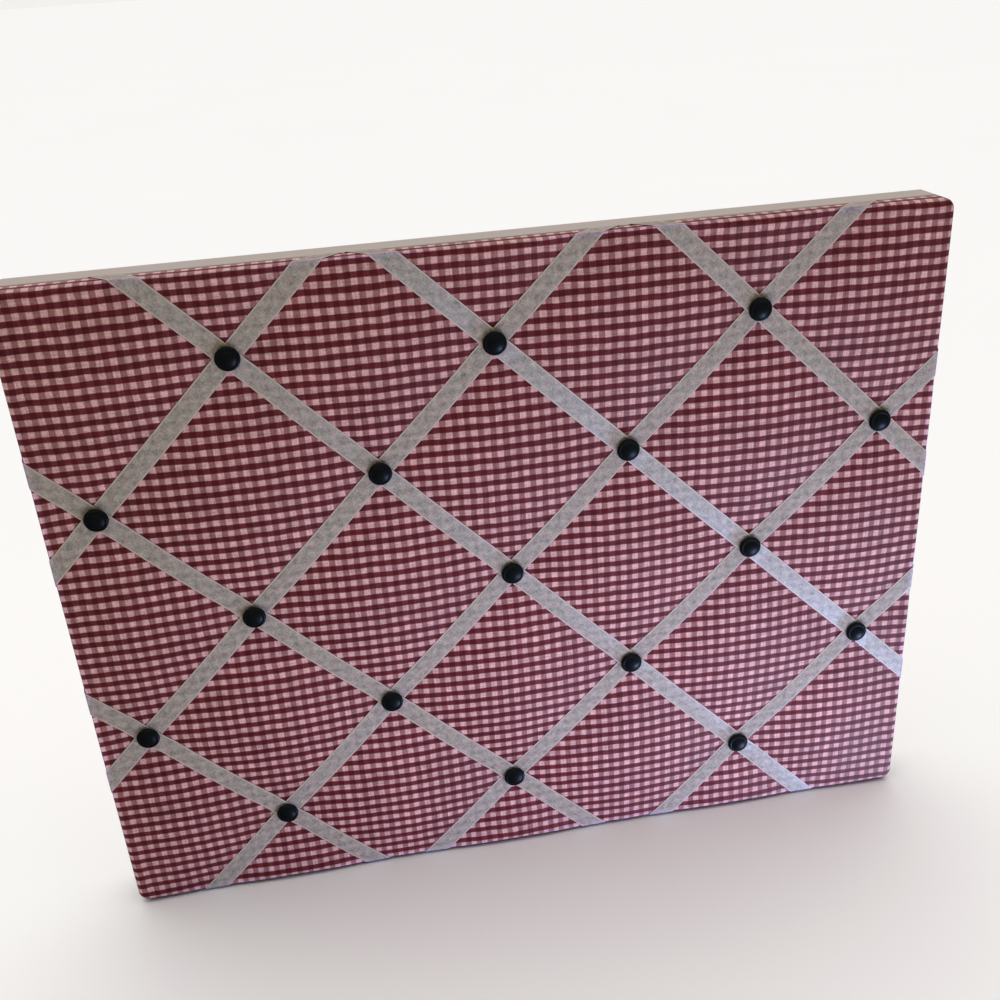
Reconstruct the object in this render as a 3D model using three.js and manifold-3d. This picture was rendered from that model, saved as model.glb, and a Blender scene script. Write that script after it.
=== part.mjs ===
// French memo board: a gingham panel padded with wadding and crossed by two sets of ribbons.
// A button on a pin holds every crossing down, and a mitred frame behind it hangs on two D-rings.
// Board axes: X to the right, Y up, Z from the wall towards the viewer. The back of the frame is Z = 0.
// The finished group is turned so that Z is up and the front faces -Y.

import * as THREE from 'three';
import { mergeVertices } from 'three/addons/utils/BufferGeometryUtils.js';
import Module from 'manifold-3d';

const wasm = await Module();
wasm.setup();

// Driving dimensions in millimetres, angles in degrees

const BOARD_WIDTH = 457.2; // 18 in
const BOARD_HEIGHT = 355.6; // 14 in
const CORNER_RADIUS = 6;
const CORNER_STEPS = 3;
const SEAT = 0.3; // gap kept where one piece lies on another

const RAIL_WIDTH = 20;
const RAIL_DEPTH = 15;
const PANEL_THICKNESS = 3;

const TUFT_THICKNESS = 2.5; // wadding pressed flat under a button
const RIBBON_SWELL = 1.6; // rise under a ribbon, midway between two buttons
const PILLOW_SWELL = 4.2; // rise in the middle of a diamond
const RIM_THICKNESS = 3; // wadding left at the rim
const RIM_ROLL = 8; // border over which the padding rolls down to the rim
const ROLL_STEPS = 2;
const BED_MARGIN = 0.5; // flat bed left on each side of a ribbon

const FABRIC_THICKNESS = 0.5;
const HEM_WIDTH = 32;

const RIBBON_WIDTH = 10;
const RIBBON_THICKNESS = 0.4;
const RIBBON_TAIL = 27; // length turned onto the back
const LATTICE_COLUMNS = 3; // steps of the lattice from the middle to the outermost buttons
const LATTICE_ROWS = 2;
const SIDE_MARGIN = 30.25; // from the outermost columns of the lattice to the board's sides
const END_MARGIN = 45.6; // from its top and bottom rows to the board's edges
const FALLING_SHIFTS = [-3.5, -4.5, 1.5, -2.5, -1]; // how far off the even lattice each was laid
const FALLING_SKEWS = [0, 0, -1.5, 0.5, 0.5];
const RISING_SHIFTS = [0, -1, -3, -3.5, -3];
const RISING_SKEWS = [-0.5, -0.5, -0.5, -1.5, -1];

const BUTTON_DIAMETER = 12;
const BUTTON_HEIGHT = 4;
const BUTTON_BEVEL = 1;
const BUTTON_SIDES = 16;
const BUTTON_DOME = [0, 30, 60, 90]; // angles of the dome's rings
const PIN_DIAMETER = 1.6;
const PIN_HOLD = 2; // length held in the button
const PIN_TIP = 2;
const PIN_SIDES = 6;

const HANGER_DROP = 80; // from the top edge down to a D-ring's bar
const STRAP_WIDTH = 9;
const STRAP_THICKNESS = 0.9;
const LOOP_STEPS = 8;
const STRAP_TOE = 5.5; // strap left below the screw's centre
const WIRE_DIAMETER = 2.2;
const RING_WIDTH = 16; // between the centres of the ring's two sides
const RING_SIDE = 3; // straight side between the bar and the bow
const RING_CORNER = 2;
const RING_STEPS = 28;
const WIRE_SIDES = 8;
const SCREW_DIAMETER = 3;
const SCREW_LENGTH = 11;
const SCREW_HEAD = 7;
const SCREW_HEAD_HEIGHT = 2;
const SCREW_DOME = [25, 60, 90];
const SCREW_SIDES = 16;
const SCREW_CROSS = 4; // length of the driver's cross
const SCREW_CROSS_WIDTH = 0.9;
const SCREW_CROSS_DEPTH = 1.2;
const RING_PLAY = 1.4; // from the hanging ring to the screw's head

// Levels of the layers, from the wall towards the viewer

const RIBBON_LAYER = RIBBON_THICKNESS + SEAT;
const HEM_BACK = RAIL_DEPTH + SEAT + 2 * RIBBON_LAYER;
const PANEL_BACK = HEM_BACK + FABRIC_THICKNESS + SEAT;
const PANEL_FRONT = PANEL_BACK + PANEL_THICKNESS;
const WADDING_BACK = PANEL_FRONT + SEAT;
const TUFT_LEVEL = WADDING_BACK + TUFT_THICKNESS;
const FABRIC_LIFT = SEAT + FABRIC_THICKNESS; // from the wadding to the outside of the fabric
const BED_LEVEL = TUFT_LEVEL + FABRIC_LIFT;
const PANEL_INSET = FABRIC_THICKNESS + SEAT;
const RIM_TO_CROWN = TUFT_THICKNESS + PILLOW_SWELL - RIM_THICKNESS + SEAT;
const BUTTON_LEVEL = BED_LEVEL + 2 * RIBBON_LAYER + SEAT;

const COLUMN_STEP = (BOARD_WIDTH / 2 - SIDE_MARGIN) / LATTICE_COLUMNS;
const ROW_STEP = (BOARD_HEIGHT / 2 - END_MARGIN) / LATTICE_ROWS;
const RIBBON_PITCH = 2 * COLUMN_STEP * ROW_STEP / Math.hypot(COLUMN_STEP, ROW_STEP); // square to the ribbons
const RIBBON_SLANT = Math.atan2(COLUMN_STEP, ROW_STEP); // 45 degrees where both steps are alike
const BED_HALF = RIBBON_WIDTH / 2 + BED_MARGIN;
const SHOULDER = 0.3; // where the padding is fully swollen, as a share of the way between two beds

const LOOP_BORE = WIRE_DIAMETER / 2 + SEAT;
const LOOP_RADIUS = LOOP_BORE + STRAP_THICKNESS;
const RING_DROP = RING_SIDE + RING_WIDTH / 2;
const SCREW_DROP = RING_DROP + WIRE_DIAMETER / 2 + RING_PLAY + SCREW_HEAD / 2;
const HANGER_LEVEL = BOARD_HEIGHT / 2 - HANGER_DROP;
const HANGER_X = (BOARD_WIDTH - RAIL_WIDTH) / 2;

// Geometry helpers

const radians = THREE.MathUtils.degToRad;

function meshGeometry(positions, index) {
  const geometry = new THREE.BufferGeometry();
  geometry.setAttribute('position', new THREE.Float32BufferAttribute(positions, 3));
  geometry.setIndex(index);
  geometry.computeVertexNormals();
  return geometry;
}

function solid(geometry) {
  const bare = geometry.clone();
  bare.deleteAttribute('normal');
  bare.deleteAttribute('uv');
  const merged = mergeVertices(bare);
  return new wasm.Manifold(new wasm.Mesh({
    numProp: 3,
    vertProperties: Float32Array.from(merged.attributes.position.array),
    triVerts: Uint32Array.from(merged.index.array),
  }));
}

function geometryOf(body) {
  const mesh = body.getMesh();
  return meshGeometry(Array.from(mesh.vertProperties), Array.from(mesh.triVerts));
}

function cut(body, tools) {
  return tools.reduce((rest, tool) => rest.subtract(tool), body);
}

// Closed solid through rings of points, each counterclockwise seen from the front, from back to front
function loft(rings) {
  const count = rings[0].length;
  const positions = rings.flat().flat();
  const index = [];
  for (let ring = 0; ring + 1 < rings.length; ring += 1) {
    for (let k = 0; k < count; k += 1) {
      const a = ring * count + k;
      const b = ring * count + (k + 1) % count;
      index.push(a, b, b + count, a, b + count, a + count);
    }
  }
  const back = positions.length / 3;
  const last = (rings.length - 1) * count;
  positions.push(0, 0, rings[0][0][2], 0, 0, rings[rings.length - 1][0][2]);
  for (let k = 0; k < count; k += 1) {
    const next = (k + 1) % count;
    index.push(back, next, k, back + 1, last + k, last + next);
  }
  return meshGeometry(positions, index);
}

// The board's outline with round corners, drawn in by an inset
function outline(inset, level) {
  const radius = Math.max(CORNER_RADIUS - inset, SEAT);
  const x = BOARD_WIDTH / 2 - inset - radius;
  const y = BOARD_HEIGHT / 2 - inset - radius;
  const points = [];
  for (const [quarter, signX, signY] of [[0, 1, 1], [1, -1, 1], [2, -1, -1], [3, 1, -1]]) {
    for (let step = 0; step <= CORNER_STEPS; step += 1) {
      const angle = (quarter + step / CORNER_STEPS) * Math.PI / 2;
      points.push([signX * x + radius * Math.cos(angle), signY * y + radius * Math.sin(angle), level]);
    }
  }
  return points;
}

function plate(inset, back, front) {
  return loft([outline(inset, back), outline(inset, front)]);
}

// A round rod along Z, pointed at its lower end if it has a tip
function rod(diameter, sides, bottom, top, tip = 0) {
  const profile = [
    new THREE.Vector2(0, bottom),
    new THREE.Vector2(diameter / 2, bottom + tip),
    new THREE.Vector2(diameter / 2, top),
    new THREE.Vector2(0, top),
  ];
  return turned(profile, sides);
}

// A profile of radius and height, turned about Z
function turned(profile, sides) {
  return new THREE.LatheGeometry(profile, sides).rotateX(Math.PI / 2);
}

function piece(name, geometry, look) {
  const mesh = new THREE.Mesh(geometry, new THREE.MeshStandardMaterial(look));
  mesh.name = name;
  return mesh;
}

// Looks

const GINGHAM = { color: 0x9c4a55, roughness: 0.9, metalness: 0 };
const RIBBON_WHITE = { color: 0xc4bcc0, roughness: 0.6, metalness: 0 };
const BUTTON_BLACK = { color: 0x101012, roughness: 0.3, metalness: 0 };
const WADDING_WHITE = { color: 0xefece6, roughness: 1, metalness: 0 };
const HARDBOARD = { color: 0x7a5a3c, roughness: 0.8, metalness: 0 };
const PAINTED_WOOD = { color: 0xb8aca4, roughness: 0.6, metalness: 0 };
const STEEL = { color: 0xb9bcc0, roughness: 0.35, metalness: 1 };

// Ribbon lines: each is kept as the angle of its normal and its distance from the board's centre

function meet(a, b) {
  const turn = Math.sin(b.angle - a.angle);
  const x = (a.offset * Math.sin(b.angle) - b.offset * Math.sin(a.angle)) / turn;
  const y = (b.offset * Math.cos(a.angle) - a.offset * Math.cos(b.angle)) / turn;
  return new THREE.Vector2(x, y);
}

function layRibbons(slant, shifts, skews) {
  const middle = (shifts.length - 1) / 2;
  return shifts.map((shift, place) => ({
    angle: slant + radians(skews[place]),
    offset: (place - middle) * RIBBON_PITCH + shift,
  }));
}

const fallingRibbons = layRibbons(RIBBON_SLANT, FALLING_SHIFTS, FALLING_SKEWS);
const risingRibbons = layRibbons(-RIBBON_SLANT, RISING_SHIFTS, RISING_SKEWS);

function holdsButton(point) {
  const room = BUTTON_DIAMETER / 2 + RIM_ROLL;
  return Math.abs(point.x) < BOARD_WIDTH / 2 - room && Math.abs(point.y) < BOARD_HEIGHT / 2 - room;
}

// Every crossing that holds a button, in rows from the top left
const crossings = fallingRibbons
  .flatMap((falling) => risingRibbons.map((rising) => ({ falling, rising, point: meet(falling, rising) })))
  .filter((crossing) => holdsButton(crossing.point))
  .sort((a, b) => {
    const rows = Math.round((b.point.y - a.point.y) / ROW_STEP);
    return rows || a.point.x - b.point.x;
  });

const pinHoles = crossings.map(({ point }) => {
  const hole = rod(PIN_DIAMETER + 2 * SEAT, PIN_SIDES, HEM_BACK - SEAT, BUTTON_LEVEL);
  return solid(hole.translate(point.x, point.y, 0));
});

// Lines along one set of ribbons between which the padding is flat: pressed on a bed, swollen between two
function swellLines(ribbons) {
  const first = ribbons[0];
  const last = ribbons[ribbons.length - 1];
  const shoulder = BED_HALF + SHOULDER * (RIBBON_PITCH - 2 * BED_HALF);
  const beyond = BOARD_WIDTH + BOARD_HEIGHT;
  const lines = [];
  const add = (angle, offset, swell) => lines.push({ angle, offset, swell });
  add(first.angle, first.offset - beyond, 1);
  add(first.angle, first.offset - shoulder, 1);
  ribbons.forEach((ribbon, place) => {
    add(ribbon.angle, ribbon.offset - BED_HALF, 0);
    add(ribbon.angle, ribbon.offset + BED_HALF, 0);
    const next = ribbons[place + 1];
    if (!next) {
      return;
    }
    for (const share of [SHOULDER, 1 - SHOULDER]) {
      const angle = THREE.MathUtils.lerp(ribbon.angle, next.angle, share);
      add(angle, THREE.MathUtils.lerp(ribbon.offset + BED_HALF, next.offset - BED_HALF, share), 1);
    }
  });
  add(last.angle, last.offset + shoulder, 1);
  add(last.angle, last.offset + beyond, 1);
  return lines;
}

const fallingLines = swellLines(fallingRibbons);
const risingLines = swellLines(risingRibbons);

function swellHeight(a, b) {
  return RIBBON_SWELL * (a + b) + (PILLOW_SWELL - 2 * RIBBON_SWELL) * a * b;
}

// Pillowed slab: a grid of both sets of lines, lifted off the wadding's face, over a flat floor
function pillows(lift, floor) {
  const rows = fallingLines.length;
  const columns = risingLines.length;
  const positions = [];
  for (const row of fallingLines) {
    for (const column of risingLines) {
      const point = meet(row, column);
      positions.push(point.x, point.y, TUFT_LEVEL + lift + swellHeight(row.swell, column.swell));
    }
  }
  const index = [];
  for (let i = 0; i + 1 < rows; i += 1) {
    for (let j = 0; j + 1 < columns; j += 1) {
      const a = i * columns + j;
      index.push(a, a + 1, a + columns + 1, a, a + columns + 1, a + columns);
    }
  }
  const across = [...Array(columns - 1).keys()];
  const down = [...Array(rows - 1).keys()];
  const border = [
    ...across,
    ...down.map((i) => (i + 1) * columns - 1),
    ...across.map((j) => rows * columns - 1 - j),
    ...down.map((i) => (rows - 1 - i) * columns),
  ];
  const base = rows * columns;
  for (const vertex of border) {
    positions.push(positions[vertex * 3], positions[vertex * 3 + 1], floor);
  }
  const centre = base + border.length;
  positions.push(0, 0, floor);
  border.forEach((vertex, k) => {
    const next = (k + 1) % border.length;
    index.push(base + k, base + next, border[next], base + k, border[next], vertex);
    index.push(centre, base + next, base + k);
  });
  return solid(meshGeometry(positions, index));
}

// The outline with its front edge rolled over, which trims the pillows at the rim
function rolledRim(inset, lift, floor) {
  const rim = WADDING_BACK + RIM_THICKNESS + lift;
  const rings = [outline(inset, floor)];
  for (let step = 0; step <= ROLL_STEPS; step += 1) {
    const angle = step / ROLL_STEPS * Math.PI / 2;
    rings.push(outline(inset + RIM_ROLL * (1 - Math.cos(angle)), rim + RIM_TO_CROWN * Math.sin(angle)));
  }
  return solid(loft(rings));
}

function padded(inset, lift, floor) {
  return pillows(lift, floor).intersect(rolledRim(inset, lift, floor));
}

// Panel, wadding and fabric

function panelBoard() {
  return geometryOf(cut(solid(plate(PANEL_INSET, PANEL_BACK, PANEL_FRONT)), pinHoles));
}

function wadding() {
  return geometryOf(cut(padded(PANEL_INSET, 0, WADDING_BACK), pinHoles));
}

function coverFabric() {
  const outside = padded(0, FABRIC_LIFT, HEM_BACK);
  const inside = padded(FABRIC_THICKNESS, SEAT, HEM_BACK + FABRIC_THICKNESS);
  const window = new THREE.BoxGeometry(
    BOARD_WIDTH - 2 * HEM_WIDTH,
    BOARD_HEIGHT - 2 * HEM_WIDTH,
    2 * FABRIC_THICKNESS + SEAT,
  );
  window.translate(0, 0, HEM_BACK + FABRIC_THICKNESS / 2);
  return geometryOf(cut(outside, [inside, solid(window), ...pinHoles]));
}

// Ribbons. The falling ones lie one layer over the rising ones on the front, the edges and the back.

function slab(corners, shift) {
  const moved = corners.map((corner) => corner.clone().add(shift));
  const positions = [...corners, ...moved].flatMap((corner) => corner.toArray());
  const index = [0, 2, 1, 0, 3, 2, 4, 5, 6, 4, 6, 7];
  for (let k = 0; k < 4; k += 1) {
    const next = (k + 1) % 4;
    index.push(k, next, next + 4, k, next + 4, k + 4);
  }
  const normal = corners[1].clone().sub(corners[0]).cross(corners[2].clone().sub(corners[0]));
  if (normal.dot(shift) < 0) {
    index.reverse();
  }
  return solid(meshGeometry(positions, index));
}

// The ribbon's height over its bed where it crosses each line of the other set
function ribbonProfile(ribbon, lines, over) {
  const along = new THREE.Vector2(-Math.sin(ribbon.angle), Math.cos(ribbon.angle));
  const stations = lines.map((line) => ({
    run: meet(ribbon, line).dot(along),
    level: BED_LEVEL + SEAT + RIBBON_SWELL * line.swell + (over && line.swell === 0 ? RIBBON_LAYER : 0),
  }));
  return stations.sort((a, b) => a.run - b.run);
}

function levelAt(profile, run) {
  const next = Math.max(1, profile.findIndex((station) => station.run >= run));
  const a = profile[next - 1];
  const b = profile[next];
  return THREE.MathUtils.mapLinear(run, a.run, b.run, a.level, b.level);
}

function ribbonFront(ribbon, profile, reach) {
  const shape = new THREE.Shape();
  profile.forEach(({ run, level }, k) => (k ? shape.lineTo(run, level) : shape.moveTo(run, level)));
  [...profile].reverse().forEach(({ run, level }) => shape.lineTo(run, level + RIBBON_THICKNESS));
  shape.closePath();
  const strip = new THREE.ExtrudeGeometry(shape, { depth: RIBBON_WIDTH, bevelEnabled: false });
  strip.translate(0, 0, -RIBBON_WIDTH / 2).rotateX(Math.PI / 2).rotateZ(ribbon.angle + Math.PI / 2);
  strip.translate(ribbon.offset * Math.cos(ribbon.angle), ribbon.offset * Math.sin(ribbon.angle), 0);
  const box = new THREE.BoxGeometry(BOARD_WIDTH + 2 * reach, BOARD_HEIGHT + 2 * reach, 4 * BUTTON_LEVEL);
  return solid(strip).intersect(solid(box));
}

// Where a line leaves the board, grown by a reach, in a given direction along the line
function exit(line, forwards, reach) {
  const along = new THREE.Vector2(-Math.sin(line.angle), Math.cos(line.angle)).multiplyScalar(forwards);
  const foot = new THREE.Vector2(Math.cos(line.angle), Math.sin(line.angle)).multiplyScalar(line.offset);
  const toSide = ((Math.sign(along.x) * (BOARD_WIDTH / 2 + reach)) - foot.x) / along.x;
  const toEnd = ((Math.sign(along.y) * (BOARD_HEIGHT / 2 + reach)) - foot.y) / along.y;
  const outward = toSide < toEnd
    ? new THREE.Vector2(Math.sign(along.x), 0)
    : new THREE.Vector2(0, Math.sign(along.y));
  const run = Math.min(toSide, toEnd);
  return { point: foot.clone().addScaledVector(along, run), run: run * forwards, along, outward };
}

// The stretch that turns over the board's edge and lies on the back, unfolded at the ribbon's own angle
function ribbonEnd(ribbon, profile, forwards, reach, back) {
  const inner = reach - RIBBON_THICKNESS;
  const edges = [-1, 1].map((side) => {
    const line = { angle: ribbon.angle, offset: ribbon.offset + side * RIBBON_WIDTH / 2 };
    return exit(line, forwards, inner);
  });
  const { along, outward } = edges[0];
  const sideways = along.clone().divideScalar(along.dot(outward)).sub(outward);
  const place = (edge, drift, inwards, level) => {
    const spot = edge.point.clone().addScaledVector(sideways, drift).addScaledVector(outward, -inwards);
    return new THREE.Vector3(spot.x, spot.y, level);
  };
  const tops = edges.map((edge) => levelAt(profile, edge.run) + RIBBON_THICKNESS);
  const drops = tops.map((top) => top - back);
  const [a, b] = edges;
  const turned = slab(
    [
      place(a, 0, 0, tops[0]),
      place(b, 0, 0, tops[1]),
      place(b, drops[1], 0, back),
      place(a, drops[0], 0, back),
    ],
    new THREE.Vector3(outward.x, outward.y, 0).multiplyScalar(RIBBON_THICKNESS),
  );
  const tail = slab(
    [
      place(a, drops[0], -RIBBON_THICKNESS, back),
      place(b, drops[1], -RIBBON_THICKNESS, back),
      place(b, drops[1] + RIBBON_TAIL, RIBBON_TAIL, back),
      place(a, drops[0] + RIBBON_TAIL, RIBBON_TAIL, back),
    ],
    new THREE.Vector3(0, 0, RIBBON_THICKNESS),
  );
  return turned.add(tail);
}

function ribbon(line, crossLines, over) {
  const layer = over ? RIBBON_LAYER : 0;
  const profile = ribbonProfile(line, crossLines, over);
  const reach = SEAT + RIBBON_THICKNESS + layer;
  const back = HEM_BACK - SEAT - RIBBON_THICKNESS - layer;
  const whole = [-1, 1].reduce(
    (body, forwards) => body.add(ribbonEnd(line, profile, forwards, reach, back)),
    ribbonFront(line, profile, reach),
  );
  return geometryOf(cut(whole, pinHoles));
}

// Buttons and their pins

function button() {
  const radius = BUTTON_DIAMETER / 2;
  const socket = PIN_DIAMETER / 2 + SEAT;
  const profile = [
    new THREE.Vector2(0, PIN_HOLD + SEAT),
    new THREE.Vector2(socket, PIN_HOLD + SEAT),
    new THREE.Vector2(socket, 0),
    new THREE.Vector2(radius - BUTTON_BEVEL, 0),
  ];
  for (const angle of BUTTON_DOME.map(radians)) {
    const height = BUTTON_BEVEL + (BUTTON_HEIGHT - BUTTON_BEVEL) * Math.sin(angle);
    profile.push(new THREE.Vector2(radius * Math.cos(angle), height));
  }
  profile[profile.length - 1].x = 0;
  return turned(profile, BUTTON_SIDES);
}

function buttonPin() {
  return rod(PIN_DIAMETER, PIN_SIDES, PANEL_BACK - BUTTON_LEVEL, PIN_HOLD, PIN_TIP);
}

// Frame rails, mitred at the corners, with pilot holes for the hanger screws in the side rails

function rail(length, turn, across) {
  const half = length / 2 - SEAT / Math.SQRT2;
  const shape = new THREE.Shape();
  shape.moveTo(-half, 0);
  shape.lineTo(half, 0);
  shape.lineTo(half - RAIL_WIDTH, -RAIL_WIDTH);
  shape.lineTo(RAIL_WIDTH - half, -RAIL_WIDTH);
  shape.closePath();
  const batten = new THREE.ExtrudeGeometry(shape, { depth: RAIL_DEPTH, bevelEnabled: false });
  batten.translate(0, across / 2, 0).rotateZ(turn);
  return solid(batten).intersect(solid(plate(0, -RAIL_DEPTH, 2 * RAIL_DEPTH)));
}

function pilotHole(x) {
  const hole = rod(SCREW_DIAMETER + 2 * SEAT, SCREW_SIDES, -SEAT, SCREW_LENGTH + SEAT);
  return solid(hole.translate(x, HANGER_LEVEL - SCREW_DROP, 0));
}

// Hangers, in axes of their own: X along the ring's bar, Y up, Z out of the back

function hangerStrap() {
  const toe = -SCREW_DROP - STRAP_TOE;
  const profile = new THREE.Shape();
  const leave = Math.acos((STRAP_THICKNESS - LOOP_RADIUS) / LOOP_RADIUS);
  profile.moveTo(0, toe);
  profile.lineTo(STRAP_THICKNESS, toe);
  profile.absarc(LOOP_RADIUS, 0, LOOP_RADIUS, -leave, Math.PI, false);
  profile.closePath();
  profile.holes.push(new THREE.Path().absarc(LOOP_RADIUS, 0, LOOP_BORE, 0, 2 * Math.PI, true));
  const settings = { depth: STRAP_WIDTH, bevelEnabled: false, curveSegments: LOOP_STEPS };
  const folded = new THREE.ExtrudeGeometry(profile, settings);
  folded.rotateY(-Math.PI / 2).translate(STRAP_WIDTH / 2, 0, 0);

  const face = new THREE.Shape();
  const half = STRAP_WIDTH / 2;
  face.moveTo(half, 2 * LOOP_RADIUS);
  face.lineTo(-half, 2 * LOOP_RADIUS);
  face.absarc(0, toe + half, half, Math.PI, 2 * Math.PI, false);
  face.closePath();
  const tongue = new THREE.ExtrudeGeometry(face, { depth: 4 * LOOP_RADIUS, bevelEnabled: false });
  tongue.translate(0, 0, -LOOP_RADIUS);

  const hole = rod(SCREW_DIAMETER + 2 * SEAT, SCREW_SIDES, -LOOP_RADIUS, LOOP_RADIUS);
  hole.translate(0, -SCREW_DROP, 0);
  return geometryOf(solid(folded).intersect(solid(tongue)).subtract(solid(hole)));
}

function hangerRing() {
  const half = RING_WIDTH / 2;
  const bend = half - RING_CORNER;
  const path = new THREE.Path();
  path.moveTo(-bend, 0);
  path.lineTo(0, 0);
  path.absarc(bend, -RING_CORNER, RING_CORNER, Math.PI / 2, 0, true);
  path.absarc(0, -RING_SIDE, half, 0, -Math.PI, true);
  path.absarc(-bend, -RING_CORNER, RING_CORNER, Math.PI, Math.PI / 2, true);
  const points = path.getSpacedPoints(RING_STEPS).slice(1);
  const loop = new THREE.CatmullRomCurve3(
    points.map((point) => new THREE.Vector3(point.x, point.y, LOOP_RADIUS)),
    true,
  );
  return new THREE.TubeGeometry(loop, RING_STEPS, WIRE_DIAMETER / 2, WIRE_SIDES, true);
}

function hangerScrew() {
  const head = STRAP_THICKNESS + SEAT;
  const profile = [
    new THREE.Vector2(0, -SCREW_LENGTH),
    new THREE.Vector2(SCREW_DIAMETER / 2, SCREW_DIAMETER - SCREW_LENGTH),
    new THREE.Vector2(SCREW_DIAMETER / 2, head),
    new THREE.Vector2(SCREW_HEAD / 2, head),
  ];
  for (const angle of SCREW_DOME.map(radians)) {
    const height = head + SCREW_HEAD_HEIGHT * Math.sin(angle);
    profile.push(new THREE.Vector2(SCREW_HEAD / 2 * Math.cos(angle), height));
  }
  profile[profile.length - 1].x = 0;
  const top = head + SCREW_HEAD_HEIGHT;
  const slots = [0, Math.PI / 2].map((turn) => {
    const slot = new THREE.BoxGeometry(SCREW_CROSS, SCREW_CROSS_WIDTH, 2 * SCREW_CROSS_DEPTH);
    return solid(slot.rotateZ(turn).translate(0, 0, top));
  });
  const screw = geometryOf(cut(solid(turned(profile, SCREW_SIDES)), slots));
  return screw.translate(0, -SCREW_DROP, 0);
}

function hanger(side, x) {
  const group = new THREE.Group();
  group.add(piece(`hanger_strap_${side}`, hangerStrap(), STEEL));
  group.add(piece(`hanger_ring_${side}`, hangerRing(), STEEL));
  group.add(piece(`hanger_screw_${side}`, hangerScrew(), STEEL));
  group.position.set(x, HANGER_LEVEL, 0);
  group.rotation.y = Math.PI;
  return group;
}

// Assembly

const board = new THREE.Group();

const sideRails = [['left', -1, Math.PI / 2], ['right', 1, -Math.PI / 2]];
for (const [side, sign, turn] of sideRails) {
  const batten = rail(BOARD_HEIGHT, turn, BOARD_WIDTH).subtract(pilotHole(sign * HANGER_X));
  board.add(piece(`rail_${side}`, geometryOf(batten), PAINTED_WOOD));
  board.add(hanger(side, sign * HANGER_X));
}
board.add(piece('rail_top', geometryOf(rail(BOARD_WIDTH, 0, BOARD_HEIGHT)), PAINTED_WOOD));
board.add(piece('rail_bottom', geometryOf(rail(BOARD_WIDTH, Math.PI, BOARD_HEIGHT)), PAINTED_WOOD));

board.add(piece('panel_board', panelBoard(), HARDBOARD));
board.add(piece('wadding', wadding(), WADDING_WHITE));
board.add(piece('cover_fabric', coverFabric(), GINGHAM));

risingRibbons.forEach((line, k) => {
  board.add(piece(`ribbon_rising_${k + 1}`, ribbon(line, fallingLines, false), RIBBON_WHITE));
});
fallingRibbons.forEach((line, k) => {
  board.add(piece(`ribbon_falling_${k + 1}`, ribbon(line, risingLines, true), RIBBON_WHITE));
});

crossings.forEach(({ point }, k) => {
  const number = String(k + 1).padStart(2, '0');
  const fixing = new THREE.Group();
  fixing.add(piece(`button_${number}`, button(), BUTTON_BLACK));
  fixing.add(piece(`button_pin_${number}`, buttonPin(), STEEL));
  fixing.position.set(point.x, point.y, BUTTON_LEVEL);
  board.add(fixing);
});

const memoBoard = new THREE.Group();
board.rotation.x = Math.PI / 2;
memoBoard.add(board);

export default memoBoard;
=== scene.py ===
"""Looks for a french memo board: gingham over wadding, ribbons held by buttons, and a frame with hangers.

The board stands upright: X to the right, Z up, and the front faces -Y. Depth below means the distance from
the back of the frame towards the viewer, so a point at depth d has y = -d. All sizes are in metres.
"""

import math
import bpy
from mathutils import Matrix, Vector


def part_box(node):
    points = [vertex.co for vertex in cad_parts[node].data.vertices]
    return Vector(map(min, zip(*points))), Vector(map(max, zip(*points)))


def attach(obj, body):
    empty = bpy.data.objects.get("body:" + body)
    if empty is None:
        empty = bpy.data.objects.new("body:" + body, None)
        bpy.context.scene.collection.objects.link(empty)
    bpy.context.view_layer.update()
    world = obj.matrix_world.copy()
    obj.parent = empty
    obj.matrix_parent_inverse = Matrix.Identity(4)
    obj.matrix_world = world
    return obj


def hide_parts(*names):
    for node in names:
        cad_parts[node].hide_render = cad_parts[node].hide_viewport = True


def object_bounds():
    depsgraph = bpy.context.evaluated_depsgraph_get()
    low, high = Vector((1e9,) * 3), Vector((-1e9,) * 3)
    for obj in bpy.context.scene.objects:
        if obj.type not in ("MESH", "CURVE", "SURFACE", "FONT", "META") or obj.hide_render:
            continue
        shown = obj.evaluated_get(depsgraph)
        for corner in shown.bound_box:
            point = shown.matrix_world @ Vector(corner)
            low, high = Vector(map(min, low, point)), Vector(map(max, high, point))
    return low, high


bl_info = {
    "name": "French memo board",
    "version": (1, 0, 0),
    "blender": (4, 5, 0),
    "location": "View3D > Sidebar > Memo board",
    "description": "Builds the cloth, padding, ribbons, buttons, rails and hangers of a french memo board",
    "category": "Object",
}

import bmesh
import bpy
import numpy as np
from bpy.props import FloatProperty, FloatVectorProperty, PointerProperty
from mathutils import Matrix

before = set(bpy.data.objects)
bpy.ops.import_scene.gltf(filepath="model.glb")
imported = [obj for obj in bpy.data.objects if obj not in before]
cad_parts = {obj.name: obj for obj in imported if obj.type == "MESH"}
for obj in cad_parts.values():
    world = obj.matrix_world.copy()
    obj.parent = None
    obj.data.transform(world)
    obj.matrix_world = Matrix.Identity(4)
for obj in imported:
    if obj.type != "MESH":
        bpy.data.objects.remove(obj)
CAD_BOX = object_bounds()

MM = 0.001
HALF_X, HEM_FACE, HALF_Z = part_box("cover_fabric")[1]
HALF = np.array((HALF_X, HALF_Z))
HEM_DEPTH = -HEM_FACE
PANEL_FRONT = -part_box("panel_board")[0][1]
RAIL_DEPTH = -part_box("rail_top")[0][1]

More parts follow.
